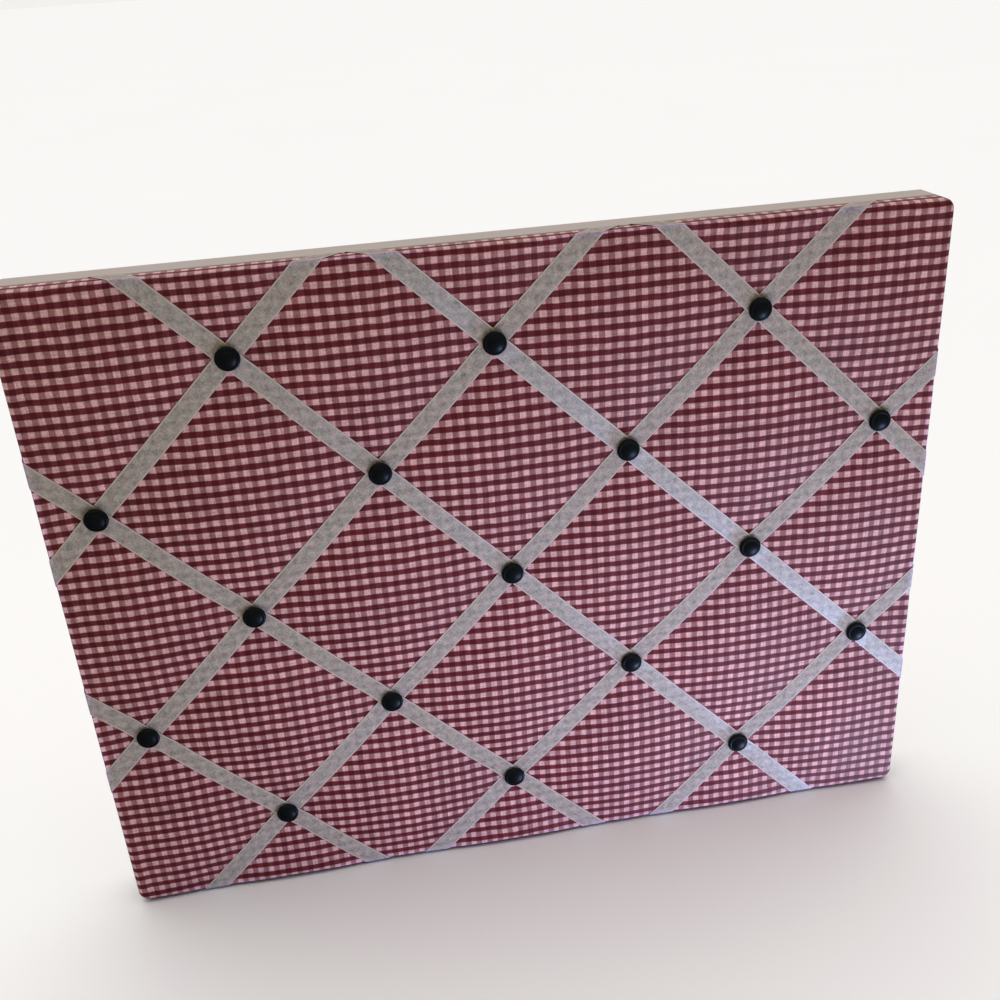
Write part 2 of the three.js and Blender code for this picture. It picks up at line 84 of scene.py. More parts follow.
# Levels and sizes that the solids share
BED_DEPTH = 24.1 * MM  # outside of the cloth under a ribbon, at a button
RIM_DEPTH = 24.6 * MM  # outside of the cloth at the board's outline
CROWN_RISE = 4.0 * MM  # from the rim to the top of the roll
RIM_ROLL = 5 * MM
RIM_BLEND = 1.2 * MM  # over which a pillow runs into the roll
CORNER_RADIUS = 6 * MM
CLOTH_LIFT = 0.8 * MM  # from the wadding to the outside of the cloth
HEM_WIDTH = 32 * MM
HEM_BEND = 1.2 * MM  # radius of the cloth round the panel's back edge
PINKING = 2.2 * MM  # depth of the teeth along the hem
RIBBON_SEAT = 0.5 * MM  # from the cloth to the middle of a ribbon, at a button and on the back
RIBBON_REST = 0.22 * MM  # the same, midway between two buttons
RIBBON_LAYER = 0.7 * MM  # from one ribbon to the one laid over it
RIBBON_REACH = 0.25 * MM  # from the cloth's sides to the middle of a ribbon
RIBBON_BEND = 0.9 * MM  # radius of a ribbon's folds over the board's edges
RIBBON_FOLD = RIBBON_BEND * math.pi / 2  # length of such a fold
RIBBON_LEAD = 20 * MM  # over which a slanted ribbon's end turns square to the edge
RIBBON_TAIL = 27 * MM
RAIL_WIDTH = 20 * MM
RING_WIRE = 1.1 * MM  # radius of a D-ring's wire
RAIL_STEP = 2.5 * MM  # of the brush marks from one line of a rail to the next
MITRE_GAP = 0.2 * MM
EDGE_LIGHT_FROM, EDGE_LIGHT_TO = 2.6 * MM, 0.3 * MM  # distances from the outline where the painted edge light starts and is full

# Simulation of the cover's pillows
BLOWN_PITCH = 4 * MM  # between the points of the simulated cloth
BLOWN_HOLD = 6 * MM  # to each side of a ribbon's middle, where the cloth is held
BLOWN_CAP = 1.2 * MM  # how far the simulation may move the cover
BLOWN_FRAMES = 20

# Ribbon lines: the slant of a line's normal in degrees, and its distance from the board's middle
PITCH = 93.5 * MM
FALLING = [(45 + skew, (k - 2) * PITCH + shift * MM) for k, (skew, shift) in enumerate(
    [(0, -3.5), (0, -4.5), (-1.5, 1.5), (0.5, -2.5), (0.5, -1)])]
RISING = [(-45 + skew, (k - 2) * PITCH + shift * MM) for k, (skew, shift) in enumerate(
    [(-0.5, 0), (-0.5, -1), (-0.5, -3), (-1.5, -3.5), (-1, -3)])]
BUTTONS = [f"{k:02d}" for k in range(1, 18)]
BUTTON_PROFILE = [
    (2.6, -0.25), (2.8, -0.05), (4.9, 0.02), (5.6, 0.3), (5.95, 0.9), (5.95, 1.5), (5.7, 2.1),
    (5.3, 2.5), (4.9, 2.66), (4.6, 2.6), (4.3, 2.56), (4.0, 2.7), (3.4, 3.1), (2.6, 3.5), (1.7, 3.8),
    (0.8, 3.96), (0.2, 4.0)]  # radius and height in millimetres, from the back to the crown

# Camera, fitted to the board's outline and lattice
CAMERA_PLACE = (-0.0751, -0.5339, 0.293)
CAMERA_RIGHT = np.array((0.9844, -0.1654, -0.0607))
CAMERA_AHEAD = np.array((0.1233, 0.8928, -0.4333))
CAMERA_LENS = 40.0

COLOUR = {"size": 3, "min": 0, "max": 1, "subtype": "COLOR"}


class MemoBoardCloth(bpy.types.PropertyGroup):
    """Sizes and colours of the gingham cover and the wadding under it."""

    repeat: FloatProperty(
        name="Gingham repeat", description="One red and one white stripe together",
        default=6.23 * MM, min=1 * MM, unit="LENGTH")
    soft: FloatProperty(
        name="Stripe softness", description="Share of a stripe over which one colour runs into the next",
        default=0.2, min=0.01, max=0.5, subtype="FACTOR")
    yarn: FloatProperty(
        name="Yarn spacing", description="Distance between neighbouring yarns of the cotton",
        default=0.39 * MM, min=0.1 * MM, unit="LENGTH")
    rise: FloatProperty(
        name="Row shift", description="How far the rows of squares lie above the board's middle",
        default=1.4 * MM, unit="LENGTH")
    pale: FloatVectorProperty(
        name="Pale squares", description="Where white yarns cross white yarns",
        default=(0.55, 0.31, 0.224), **COLOUR)
    rose: FloatVectorProperty(
        name="Rose squares", description="Where a white weft crosses a red warp",
        default=(0.265, 0.102, 0.0765), **COLOUR)
    wine: FloatVectorProperty(
        name="Wine squares", description="Where a red weft crosses a white warp",
        default=(0.126, 0.0155, 0.0145), **COLOUR)
    dark: FloatVectorProperty(
        name="Dark squares", description="Where red yarns cross red yarns",
        default=(0.083, 0.0045, 0.004), **COLOUR)
    ribbon_swell: FloatProperty(
        name="Swell under ribbons",
        description="Rise of the padding under a ribbon, midway between two buttons",
        default=1.6 * MM, min=0, unit="LENGTH")
    pillow_swell: FloatProperty(
        name="Pillow swell", description="Rise of the padding in the middle of a diamond",
        default=4.2 * MM, min=0, unit="LENGTH")
    slack: FloatProperty(
        name="Slack", description="Share of the swell at which the simulated cloth starts",
        default=0.8, min=0.1, max=1, subtype="FACTOR")
    pressure: FloatProperty(
        name="Pressure", description="Pressure of the wadding against the simulated cloth",
        default=60, min=0)
    pitch: FloatProperty(
        name="Grid pitch", description="Distance between the points of the cloth's surface",
        default=2.6 * MM, min=1 * MM, unit="LENGTH")
    thickness: FloatProperty(
        name="Cloth thickness", description="Thickness of the gingham",
        default=0.35 * MM, min=0, unit="LENGTH")


class MemoBoardTrim(bpy.types.PropertyGroup):
    """Sizes and colours of the ribbons and the buttons."""

    width: FloatProperty(
        name="Ribbon width", description="Width of a ribbon", default=10 * MM, min=2 * MM, unit="LENGTH")
    thickness: FloatProperty(
        name="Ribbon thickness", description="Thickness of a ribbon",
        default=0.22 * MM, min=0.1 * MM, unit="LENGTH")
    body: FloatVectorProperty(
        name="Ribbon body", description="Colour of the ribbon between its selvedges",
        default=(0.29, 0.24, 0.152), **COLOUR)
    selvedge: FloatVectorProperty(
        name="Selvedge", description="Colour of the ribbon's two woven edges",
        default=(0.45, 0.345, 0.225), **COLOUR)
    show: FloatProperty(
        name="Show-through", description="How much of the gingham shows through a ribbon",
        default=0.32, min=0, max=1, subtype="FACTOR")
    button: FloatVectorProperty(
        name="Button", description="Colour of the buttons",
        default=(0.004, 0.0045, 0.0036), **COLOUR)


class MemoBoardFrame(bpy.types.PropertyGroup):
    """Sizes and colours of the parts behind the padded panel."""

    edge: FloatProperty(
        name="Rail edge", description="Rounding along the edges of a rail",
        default=1 * MM, min=0, unit="LENGTH")
    paint: FloatVectorProperty(
        name="Paint", description="Colour of the painted rails",
        default=(0.42, 0.36, 0.335), **COLOUR)
    hardboard: FloatVectorProperty(
        name="Hardboard", description="Colour of the panel's bare back",
        default=(0.2, 0.115, 0.06), **COLOUR)
    steel: FloatVectorProperty(
        name="Plated steel", description="Colour of the hangers, screws, staples and pins",
        default=(0.6, 0.6, 0.61), **COLOUR)
    staple_gap: FloatProperty(
        name="Staple spacing", description="Distance between the staples along the hem",
        default=38 * MM, min=10 * MM, unit="LENGTH")


class MemoBoardStage(bpy.types.PropertyGroup):
    """Floor and light of the studio."""

    floor: FloatVectorProperty(
        name="Floor", description="Colour of the floor", default=(0.95, 0.95, 0.96), **COLOUR)
    sky: FloatProperty(name="Sky", description="Strength of the soft light from above", default=4.2, min=0)
    key: FloatProperty(
        name="Window light", description="Power of the cool light in front", default=3.1, min=0)
    gleam: FloatProperty(
        name="Gleam", description="Power of the cool light that only glosses", default=14, min=0)


class Nodes:
    """A tree of shader nodes with short calls that add nodes to it and join them."""

    def __init__(self, owner):
        owner.use_nodes = True
        self.tree = owner.node_tree

    def feed(self, socket, value):
        if isinstance(value, bpy.types.NodeSocket):
            self.tree.links.new(value, socket)
        elif socket.type == "RGBA" and len(value) == 3:
            socket.default_value = (*value, 1)
        else:
            socket.default_value = value

    def node(self, kind, inputs=None, **settings):
        made = self.tree.nodes.new("ShaderNode" + kind)
        for key, value in settings.items():
            setattr(made, key, value)
        for key, value in (inputs or {}).items():
            self.feed(made.inputs[key], value)
        return made

    def math(self, operation, *values):
        return self.node("Math", dict(enumerate(values)), operation=operation).outputs[0]

    def spread(self, value, low, high, to_low=0.0, to_high=1.0, smooth=True):
        kind = "SMOOTHSTEP" if smooth else "LINEAR"
        ranges = {0: value, 1: low, 2: high, 3: to_low, 4: to_high}
        return self.node("MapRange", ranges, interpolation_type=kind).outputs[0]

    def axes(self, vector):
        return self.node("SeparateXYZ", {0: vector}).outputs


class Shader(Nodes):
    """A material, with calls for the patterns and values of its surface."""

    def __init__(self, name):
        self.material = bpy.data.materials.new(name)
        super().__init__(self.material)

    def mix(self, share, a, b, blend="MIX"):
        made = self.node("Mix", data_type="RGBA", blend_type=blend)
        self.feed(made.inputs["Factor"], share)
        self.feed(made.inputs[6], a)
        self.feed(made.inputs[7], b)
        return made.outputs[2]

    def varied(self, shade, value, depth):
        """A shade raised and lowered by a value about its middle, 0.5."""
        return self.math("MULTIPLY_ADD", self.math("SUBTRACT", value, 0.5), depth, shade)

    def shaded(self, colour, shade):
        """A colour times a grey shade."""
        grey = self.node("CombineColor", {0: shade, 1: shade, 2: shade}).outputs[0]
        return self.mix(1.0, colour, grey, "MULTIPLY")

    def wave(self, axis, spacing):
        """A sine along an axis, with half a wave to each spacing."""
        return self.math("SINE", self.math("MULTIPLY", axis, math.pi / spacing))

    def noise(self, where, scale, detail=3.0, rough=0.5):
        inputs = {"Vector": where, "Scale": scale, "Detail": detail, "Roughness": rough}
        return self.node("TexNoise", inputs).outputs["Fac"]

    def drifted(self, where, scale, reach):
        """Coordinates moved by up to half a reach, unevenly."""
        uneven = self.node("TexNoise", {"Vector": where, "Scale": scale, "Detail": 2.0}).outputs["Color"]
        drift = self.node("VectorMath", {0: uneven, 1: (0.5, 0.5, 0.5)}, operation="SUBTRACT").outputs[0]
        drift = self.node("VectorMath", {0: drift, "Scale": reach}, operation="SCALE").outputs[0]
        return self.node("VectorMath", {0: where, 1: drift}, operation="ADD").outputs[0]

    def stretched(self, where, scale):
        return self.node("Mapping", {"Vector": where, "Scale": scale}).outputs[0]

    def where(self):
        return self.node("TexCoord").outputs["Object"]

    def uv(self, name):
        return self.node("UVMap", uv_map=name).outputs[0]

    def bump(self, height, strength, distance):
        inputs = {"Height": height, "Strength": strength, "Distance": distance}
        return self.node("Bump", inputs).outputs[0]

    def finish(self, **inputs):
        """Feeds the surface's sockets, which are named with underlines, and gives the material."""
        surface = self.tree.nodes["Principled BSDF"]
        for key, value in inputs.items():
            self.feed(surface.inputs[key.replace("_", " ")], value)
        return self.material


def edge_lit(shader, colour, gain):
    """A colour brightened and cooled along the board's outline: painted light for the cool light the rolled
    edges miss.
    """
    x, _, z = shader.axes(shader.where())
    beside = shader.math("SUBTRACT", HALF_X, shader.math("ABSOLUTE", x))
    above = shader.math("SUBTRACT", HALF_Z, shader.math("ABSOLUTE", z))
    margin = shader.math("MINIMUM", beside, above)
    share = shader.spread(margin, EDGE_LIGHT_TO, EDGE_LIGHT_FROM, 1.0, 0.0)
    return shader.mix(share, colour, shader.mix(1.0, colour, gain, "MULTIPLY"))


def gingham_stripes(shader, flat, cloth, soft):
    """Share of red in the warp and in the weft at flat cloth coordinates: even stripes, each running into
    the next over the soft share of its width."""
    across, along, _ = shader.axes(flat)
    stripes = []
    for axis, rise in ((across, 0.0), (along, cloth.rise)):
        place = shader.math("MULTIPLY_ADD", axis, 1 / cloth.repeat, -rise / cloth.repeat)
        turn = shader.math("FRACT", place)
        peak = shader.math("ABSOLUTE", shader.math("SUBTRACT", turn, 0.5))
        stripes.append(shader.spread(peak, 0.25 - soft / 4, 0.25 + soft / 4))
    return stripes


def gingham_tone(shader, flat, cloth):
    """Colour of the gingham: the warp's and the weft's stripes pick one of four tones where they cross."""
    warp, weft = gingham_stripes(shader, flat, cloth, cloth.soft)
    light = shader.mix(warp, cloth.pale, cloth.rose)
    deep = shader.mix(warp, cloth.wine, cloth.dark)
    return shader.mix(weft, light, deep)


def gingham(cloth):
    """Woven cotton: the four gingham tones, broken up by single yarns that pass over and under each other,
    with painted shade where they dip, slubs in the yarns, a soft nap, a little soiling and painted cool
    light along the outline."""
    shader = Shader("gingham_cotton")
    flat = shader.uv("cloth")
    moved = shader.drifted(flat, 90.0, 1.3 * MM)
    across, along, _ = shader.axes(moved)
    over = shader.math("MULTIPLY", shader.wave(across, cloth.yarn), shader.wave(along, cloth.yarn))
    slub = shader.noise(flat, 1100.0, 2.0)
    worn = shader.noise(flat, 16.0, 4.0)
    # painted shade: darker where the yarns pass under each other
    shade = shader.math("MULTIPLY_ADD", over, 0.1, 0.94)
    streaks = (((170, 4, 1), 0.35), ((4, 170, 1), 0.35), ((1000, 90, 1), 0.9), ((90, 1000, 1), 0.7))
    for scale, depth in streaks:
        shade = shader.varied(shade, shader.noise(shader.stretched(flat, scale), 1.0, 2.0), depth)
    shade = shader.varied(shade, slub, 0.9)
    shade = shader.varied(shade, worn, 0.22)
    # painted light: the cloth is brightened and cooled along the outline, for the cool light the rolled
    # edges miss
    edge_light_gain = (1.25, 1.4, 1.95)
    colour = edge_lit(shader, shader.shaded(gingham_tone(shader, moved, cloth), shade), edge_light_gain)
    height = shader.math("MULTIPLY_ADD", slub, 0.6, over)
    return shader.finish(
        Base_Color=colour, Roughness=shader.spread(worn, 0.3, 0.7, 0.5, 0.6), Sheen_Weight=0.03,
        Sheen_Roughness=0.5, Sheen_Tint=(0.92, 0.86, 1.0), Specular_IOR_Level=0.17,
        Normal=shader.bump(height, 0.35, 0.15 * MM))


def satin(cloth, trim):
    """Ribbon: fine lengthwise yarns, a mottled shade and tint, two paler woven selvedges and the gingham
    showing faintly through. The rim at each side is painted dark as shade and is without gloss. Painted cool
    light brightens the ribbon along the board's outline."""
    shader = Shader("ribbon_satin")
    run = shader.uv("ribbon")
    along, across, _ = shader.axes(run)
    warp, weft = gingham_stripes(shader, shader.drifted(shader.uv("cloth"), 240.0, 5 * MM), cloth, 1.0)
    beneath = shader.math("MULTIPLY_ADD", warp, 0.4, shader.math("MULTIPLY", weft, 0.6))
    yarns = shader.noise(shader.stretched(run, (60, 4200, 1)), 1.0, 2.0)
    cloudy = shader.noise(shader.stretched(run, (180, 420, 1)), 1.0, 3.0)
    grain = shader.noise(run, 1000.0, 3.0, 0.75)
    mottle = shader.noise(run, 430.0, 2.0)
    stain = shader.spread(shader.noise(shader.stretched(run, (330, 330, 1)), 1.0, 2.0), 0.35, 0.65)
    off = shader.math("ABSOLUTE", across)
    side = trim.width / 2
    selvedge = shader.spread(off, side - 0.8 * MM, side - 0.5 * MM)
    rim = shader.spread(off, side - 0.06 * MM, side - 0.01 * MM)
    shade = 1.0
    for pattern, depth in ((yarns, 0.25), (cloudy, 0.7), (grain, 1.9), (mottle, 0.9), (beneath, -trim.show)):
        shade = shader.varied(shade, pattern, depth)
    warm = (1.05, 0.97, 0.98)
    cool = (0.95, 1.03, 1.02)
    body = shader.mix(1.0, trim.body, shader.mix(stain, warm, cool), "MULTIPLY")
    colour = shader.mix(selvedge, shader.shaded(body, shade), trim.selvedge)
    # painted shade: the ribbon's side walls are coloured dark
    rim_shade = (0.1, 0.08, 0.06)
    # painted light: the ribbon is brightened and cooled along the outline
    edge_light_gain = (1.1, 1.06, 1.5)
    colour = edge_lit(shader, shader.mix(rim, colour, rim_shade), edge_light_gain)
    rib = shader.wave(along, 0.15 * MM)
    height = shader.math("MULTIPLY_ADD", yarns, 0.8, shader.math("MULTIPLY", rib, 0.25))
    height = shader.math("MULTIPLY_ADD", selvedge, 0.15, height)
    lengthwise = shader.node("Tangent", direction_type="UV_MAP", uv_map="ribbon").outputs[0]
    gloss = 0.65
    return shader.finish(
        Base_Color=colour, Roughness=shader.spread(yarns, 0.3, 0.7, 0.4, 0.52),
        Specular_IOR_Level=shader.math("MULTIPLY_ADD", rim, -gloss, gloss), Anisotropic=0.8,
        Tangent=lengthwise, Sheen_Weight=0.1, Sheen_Roughness=0.4,
        Normal=shader.bump(height, 0.3, 0.12 * MM))


def fibre_fill():
    """Wadding: matted white fibres."""
    shader = Shader("polyester_wadding")
    where = shader.where()
    fibres = shader.noise(shader.stretched(where, (900, 900, 240)), 1.0, 4.0)
    tufts = shader.noise(where, 70.0, 3.0)
    colour = shader.mix(fibres, (0.7, 0.69, 0.66), (0.9, 0.89, 0.87))
    height = shader.math("ADD", fibres, tufts)
    return shader.finish(Base_Color=colour, Roughness=0.98, Normal=shader.bump(height, 0.6, 0.5 * MM))


def black_plastic(trim):
    """Moulded buttons: near black, with a slightly uneven polish and fine scuffs."""
    shader = Shader("black_plastic")
    where = shader.where()
    polish = shader.noise(where, 420.0, 3.0)
    scuffs = shader.noise(shader.stretched(where, (500, 500, 5200)), 1.0, 3.0)
    scuff = shader.spread(scuffs, 0.62, 0.78)
    colour = shader.mix(scuff, trim.button, (0.009, 0.009, 0.009))
    rough = shader.math("MULTIPLY_ADD", scuff, 0.12, shader.spread(polish, 0.3, 0.7, 0.4, 0.52))
    return shader.finish(
        Base_Color=colour, Roughness=rough, Specular_IOR_Level=0.1,
        Normal=shader.bump(polish, 0.12, 0.1 * MM))


def painted_wood(frame_look):
    """Painted pine: brush marks along each rail, faint grain, yellowing and paint rubbed thin in places."""
    shader = Shader("brushed_paint")
    run = shader.uv("rail")
    brush = shader.noise(shader.stretched(run, (9, 900, 1)), 1.0, 3.0)
    grain = shader.noise(shader.stretched(run, (5, 210, 1)), 1.0, 5.0, 0.6)
    stain = shader.spread(shader.noise(shader.where(), 22.0, 4.0), 0.35, 0.7, 0.0, 0.35)
    rubbed = shader.spread(shader.noise(shader.where(), 140.0, 5.0, 0.65), 0.66, 0.74)
    yellowed = (0.4, 0.33, 0.27)
    chalky = (0.58, 0.52, 0.48)
    bare = (0.46, 0.31, 0.17)
    colour = shader.mix(stain, frame_look.paint, yellowed)
    colour = shader.mix(shader.spread(brush, 0.3, 0.75, 0.0, 0.25), colour, chalky)
    colour = shader.mix(shader.math("MULTIPLY", rubbed, 0.55), colour, bare)
    height = shader.math("MULTIPLY_ADD", grain, 0.8, brush)
    return shader.finish(
        Base_Color=colour, Roughness=shader.spread(brush, 0.25, 0.75, 0.45, 0.62),
        Normal=shader.bump(height, 0.4, 0.2 * MM))


def hardboard(frame_look):
    """Pressed hardboard: brown fibre flecks, and the weave of the press screen on the back."""
    shader = Shader("pressed_hardboard")
    where = shader.where()
    x, _, z = shader.axes(where)
    wire = 0.65 * MM
    screen = shader.math("MULTIPLY", shader.wave(x, wire), shader.wave(z, wire))
    flecks = shader.noise(where, 900.0, 4.0, 0.6)
    cloudy = shader.noise(where, 26.0, 4.0)
    fibre = (0.36, 0.23, 0.13)
    scorched = (0.115, 0.062, 0.032)
    colour = shader.mix(shader.spread(flecks, 0.3, 0.72), frame_look.hardboard, fibre)
    colour = shader.mix(shader.spread(cloudy, 0.3, 0.7, 0.0, 0.2), colour, scorched)
    height = shader.math("MULTIPLY_ADD", flecks, 0.7, shader.math("MULTIPLY", screen, 0.6))
    return shader.finish(
        Base_Color=colour, Roughness=shader.spread(flecks, 0.3, 0.7, 0.62, 0.85),
        Normal=shader.bump(height, 0.5, 0.25 * MM))


def plated_steel(frame_look):
    """Zinc-plated steel: bright, clouded by the plating and lightly scratched."""
    shader = Shader("plated_steel")
    where = shader.where()
    cloudy = shader.noise(where, 310.0, 4.0)
    scratch = shader.noise(shader.stretched(where, (260, 3200, 900)), 1.0, 3.0)
    colour = shader.mix(shader.spread(cloudy, 0.35, 0.7), frame_look.steel, (0.44, 0.44, 0.46))
    rough = shader.math("MULTIPLY_ADD", scratch, 0.16, shader.spread(cloudy, 0.3, 0.7, 0.2, 0.34))
    return shader.finish(
        Base_Color=colour, Metallic=1.0, Roughness=rough, Normal=shader.bump(scratch, 0.1, 0.05 * MM))


def studio_floor(stage):
    """Matt painted floor with a faint unevenness."""
    shader = Shader("studio_floor")
    cloudy = shader.noise(shader.where(), 1.6, 3.0)
    colour = shader.mix(cloudy, stage.floor, (0.97, 0.97, 0.98))
    return shader.finish(Base_Color=colour, Roughness=0.9, Specular_IOR_Level=0.1)


def shared(name, make, *looks):
    """The material of that name, made on its first use."""
    return bpy.data.materials.get(name) or make(*looks)


def stacked(*axes):
    """Coordinates side by side, as the last axis of one array."""
    return np.stack(np.broadcast_arrays(*axes), axis=-1)


def mesh_object(name, points, faces, material, smooth=True):
    """An object at the origin whose place is in its points, given as an array of rows of x, y, z."""
    mesh = bpy.data.meshes.new(name)
    mesh.from_pydata(np.asarray(points).tolist(), [], [list(face) for face in faces])
    mesh.polygons.foreach_set("use_smooth", np.full(len(mesh.polygons), smooth))
    mesh.materials.append(material)
    mesh.update()
    made = bpy.data.objects.new(name, mesh)
    bpy.context.collection.objects.link(made)
    return made


def add_uv(made, name, points_uv):
    """A UV map that gives every corner of a face the coordinates of its point."""
    mesh = made.data
    corners = np.empty(len(mesh.loops), dtype=np.int32)
    mesh.loops.foreach_get("vertex_index", corners)
    layer = mesh.uv_layers.new(name=name)
    layer.data.foreach_set("uv", np.asarray(points_uv, dtype=np.float32)[corners].ravel())


def outward(made):
    """Merges doubled points and turns every face of a closed mesh outwards."""
    shape = bmesh.new()
    shape.from_mesh(made.data)
    bmesh.ops.remove_doubles(shape, verts=shape.verts, dist=1e-7)
    bmesh.ops.recalc_face_normals(shape, faces=shape.faces)
    shape.to_mesh(made.data)
    shape.free()
    return made


def thicken(made, thickness, side):
    """Gives a sheet its thickness: behind its surface at side -1, and half on each side of it at 0."""
    wall = made.modifiers.new("thickness", "SOLIDIFY")
    wall.thickness = thickness
    wall.offset = side


def settle(made, body, slot, *nodes):
    """Rides a finished piece on its body and hides the solids that it stands for. Its slot is not used."""
    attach(made, body)
    if nodes:
        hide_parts(*nodes)
    return made


def grid_faces(rows, columns, wrap=False, loop=False):
    """Quads of a grid of points numbered row by row. With wrap the last column joins the first, and with
    loop the last row joins the first."""
    index = np.arange(rows * columns).reshape(rows, columns)
    if wrap:
        index = np.concatenate((index, index[:, :1]), axis=1)
    if loop:
        index = np.concatenate((index, index[:1]))
    quads = stacked(index[:-1, :-1], index[:-1, 1:], index[1:, 1:], index[1:, :-1])
    return quads.reshape(-1, 4)


def tube(rings, capped=True):
    """Points and faces of a closed profile carried along a path: one row of points for each station, and a
    fan of triangles over each end if it is capped. Uncapped, the last station joins the first."""
    stations, count, _ = rings.shape
    points = rings.reshape(-1, 3)
    faces = grid_faces(stations, count, wrap=True, loop=not capped).tolist()
    if not capped:
        return points, faces
    ring = np.arange(count)
    following = np.roll(ring, -1)
    hub = len(points)
    last = (stations - 1) * count
    faces += stacked(hub, following, ring).tolist()
    faces += stacked(hub + 1, last + ring, last + following).tolist()
    ends = np.stack((rings[0].mean(axis=0), rings[-1].mean(axis=0)))
    return np.concatenate((points, ends)), faces


def border_of(rows, columns):
    """Indices round the border of a grid, counterclockwise where columns run right and rows run up."""
    index = np.arange(rows * columns).reshape(rows, columns)
    return np.concatenate((index[0, :-1], index[:-1, -1], index[-1, :0:-1], index[:0:-1, 0]))


def skirted(front, rings, closed):
    """Points and faces of a grid whose border goes on as rings of points, each a row as long as the border.
    If closed, a fan of triangles fills the last ring."""
    rows, columns, _ = front.shape
    points = front.reshape(-1, 3)
    faces = grid_faces(rows, columns).tolist()
    border = border_of(rows, columns)
    count = len(border)
    skirt = len(points) + np.arange(len(rings) * count).reshape(len(rings), count)
    loops = np.concatenate((border[None], skirt))
    loops = np.concatenate((loops, loops[:, :1]), axis=1)
    quads = stacked(loops[:-1, :-1], loops[1:, :-1], loops[1:, 1:], loops[:-1, 1:])
    faces += quads.reshape(-1, 4).tolist()
    points = np.concatenate((points, rings.reshape(-1, 3)))
    if closed:
        hub = len(points)
        last = loops[-1]
        faces += stacked(hub, last[1:], last[:-1]).tolist()
        points = np.concatenate((points, rings[-1].mean(axis=0)[None]))
    return points, faces


def smooth_least(a, b, width):
    """The lesser of two heights, with the corner between them rounded by a parabola of that width."""
    near = np.clip(1 - np.abs(a - b) / width, 0, None)
    return np.minimum(a, b) - near ** 2 * width / 4


def smooth_step(value, low, high):
    """Rises from 0 at low to 1 at high along the cubic 3t^2 - 2t^3."""
    share = np.clip((value - low) / (high - low), 0, 1)
    return share * share * (3 - 2 * share)


def line_distance(lines, x, z):
    """Distance from the nearest of a set of ribbon lines: the least |x cos a + z sin a - offset|."""
    return np.min([
        np.abs(x * math.cos(math.radians(slant)) + z * math.sin(math.radians(slant)) - offset)
        for slant, offset in lines], axis=0)


def ribbon_distance(x, z):
    """Distance from the nearest ribbon's centre line."""
    return np.minimum(line_distance(FALLING, x, z), line_distance(RISING, x, z))


def fullness(lines, x, z):
    """How far the padding has swollen away from a set of ribbons, from 0 under a ribbon to 1 midway to the
    next. The distance past the ribbon's edge eases in over a short parabola, and the swelling is
    1 - (1 - s)^2.4 of the share s of the way."""
    bed = 5.0 * MM
    ease = 3 * MM
    past = np.clip(line_distance(lines, x, z) - bed, 0, None)
    past = np.where(past < ease, past ** 2 / (2 * ease), past - ease / 2)
    share = np.clip(past / (PITCH / 2 - bed - ease / 2), 0, 1)
    return 1 - (1 - share) ** 2.4


def pillow_rise(x, z, cloth):
    """Rise over the bed: b (f + g) + (p - 2 b) f g, where f and g are the fullness from the two sets of
    ribbons, b the swell under a ribbon and p the swell of a pillow."""
    falling = fullness(FALLING, x, z)
    rising = fullness(RISING, x, z)
    low = cloth.ribbon_swell
    return low * (falling + rising) + (cloth.pillow_swell - 2 * low) * falling * rising


def rolled_steps(half, roll, steps, pitch):
    """Coordinates from -half to half: even between two rolls, and spaced by a cosine over each roll."""
    rolled = roll * (1 - np.cos(np.linspace(0, math.pi / 2, steps + 1)))[:-1]
    count = round(2 * (half - roll) / pitch)
    even = np.linspace(roll - half, half - roll, count + 1)
    return np.concatenate((rolled - half, even, half - rolled[::-1]))


def quarter_roll(inset):
    """Quarter ellipse: 0 at the outline, 1 where the roll ends."""
    share = np.clip(inset / RIM_ROLL, 0, 1)
    return np.sqrt(1 - (1 - share) ** 2)


def round_corners(x, z, half_x, half_z, radius):
    """Draws the four corner squares of a rectangle onto quarter discs: u becomes u sqrt(1 - v^2 / 2)."""
    u = np.clip((np.abs(x) - half_x + radius) / radius, 0, 1)
    v = np.clip((np.abs(z) - half_z + radius) / radius, 0, 1)
    moved_x = x + np.sign(x) * radius * u * (np.sqrt(1 - v ** 2 / 2) - 1)
    moved_z = z + np.sign(z) * radius * v * (np.sqrt(1 - u ** 2 / 2) - 1)
    return moved_x, moved_z


def crowned(pillow, roll):
    """Depth of the padding: the lesser of the pillows and the roll, with a soft corner between them."""
    return smooth_least(pillow, RIM_DEPTH + CROWN_RISE * roll, RIM_BLEND)


def padded_front(cloth, inset, lift, pitch, steps):
    """Front of the padding on a grid over the board's outline, drawn in by an inset and lowered by a lift:
    the pillows, cut off by a roll down to the rim. Gives the grid's x, z and depth."""
    half_x, half_z = HALF - inset
    raw_x, raw_z = np.meshgrid(
        rolled_steps(half_x, RIM_ROLL, steps, pitch), rolled_steps(half_z, RIM_ROLL, steps, pitch))
    roll = quarter_roll(half_x - np.abs(raw_x)) * quarter_roll(half_z - np.abs(raw_z))
    x, z = round_corners(raw_x, raw_z, half_x, half_z, CORNER_RADIUS - inset)
    return x, z, crowned(BED_DEPTH + pillow_rise(x, z, cloth), roll) - lift


def outline_normal(x, z):
    """Outward direction at points of the rounded outline: away from the nearest point of the core."""
    off_x = np.sign(x) * np.clip(np.abs(x) - HALF_X + CORNER_RADIUS, 0, None)
    off_z = np.sign(z) * np.clip(np.abs(z) - HALF_Z + CORNER_RADIUS, 0, None)
    length = np.hypot(off_x, off_z)
    return off_x / length, off_z / length


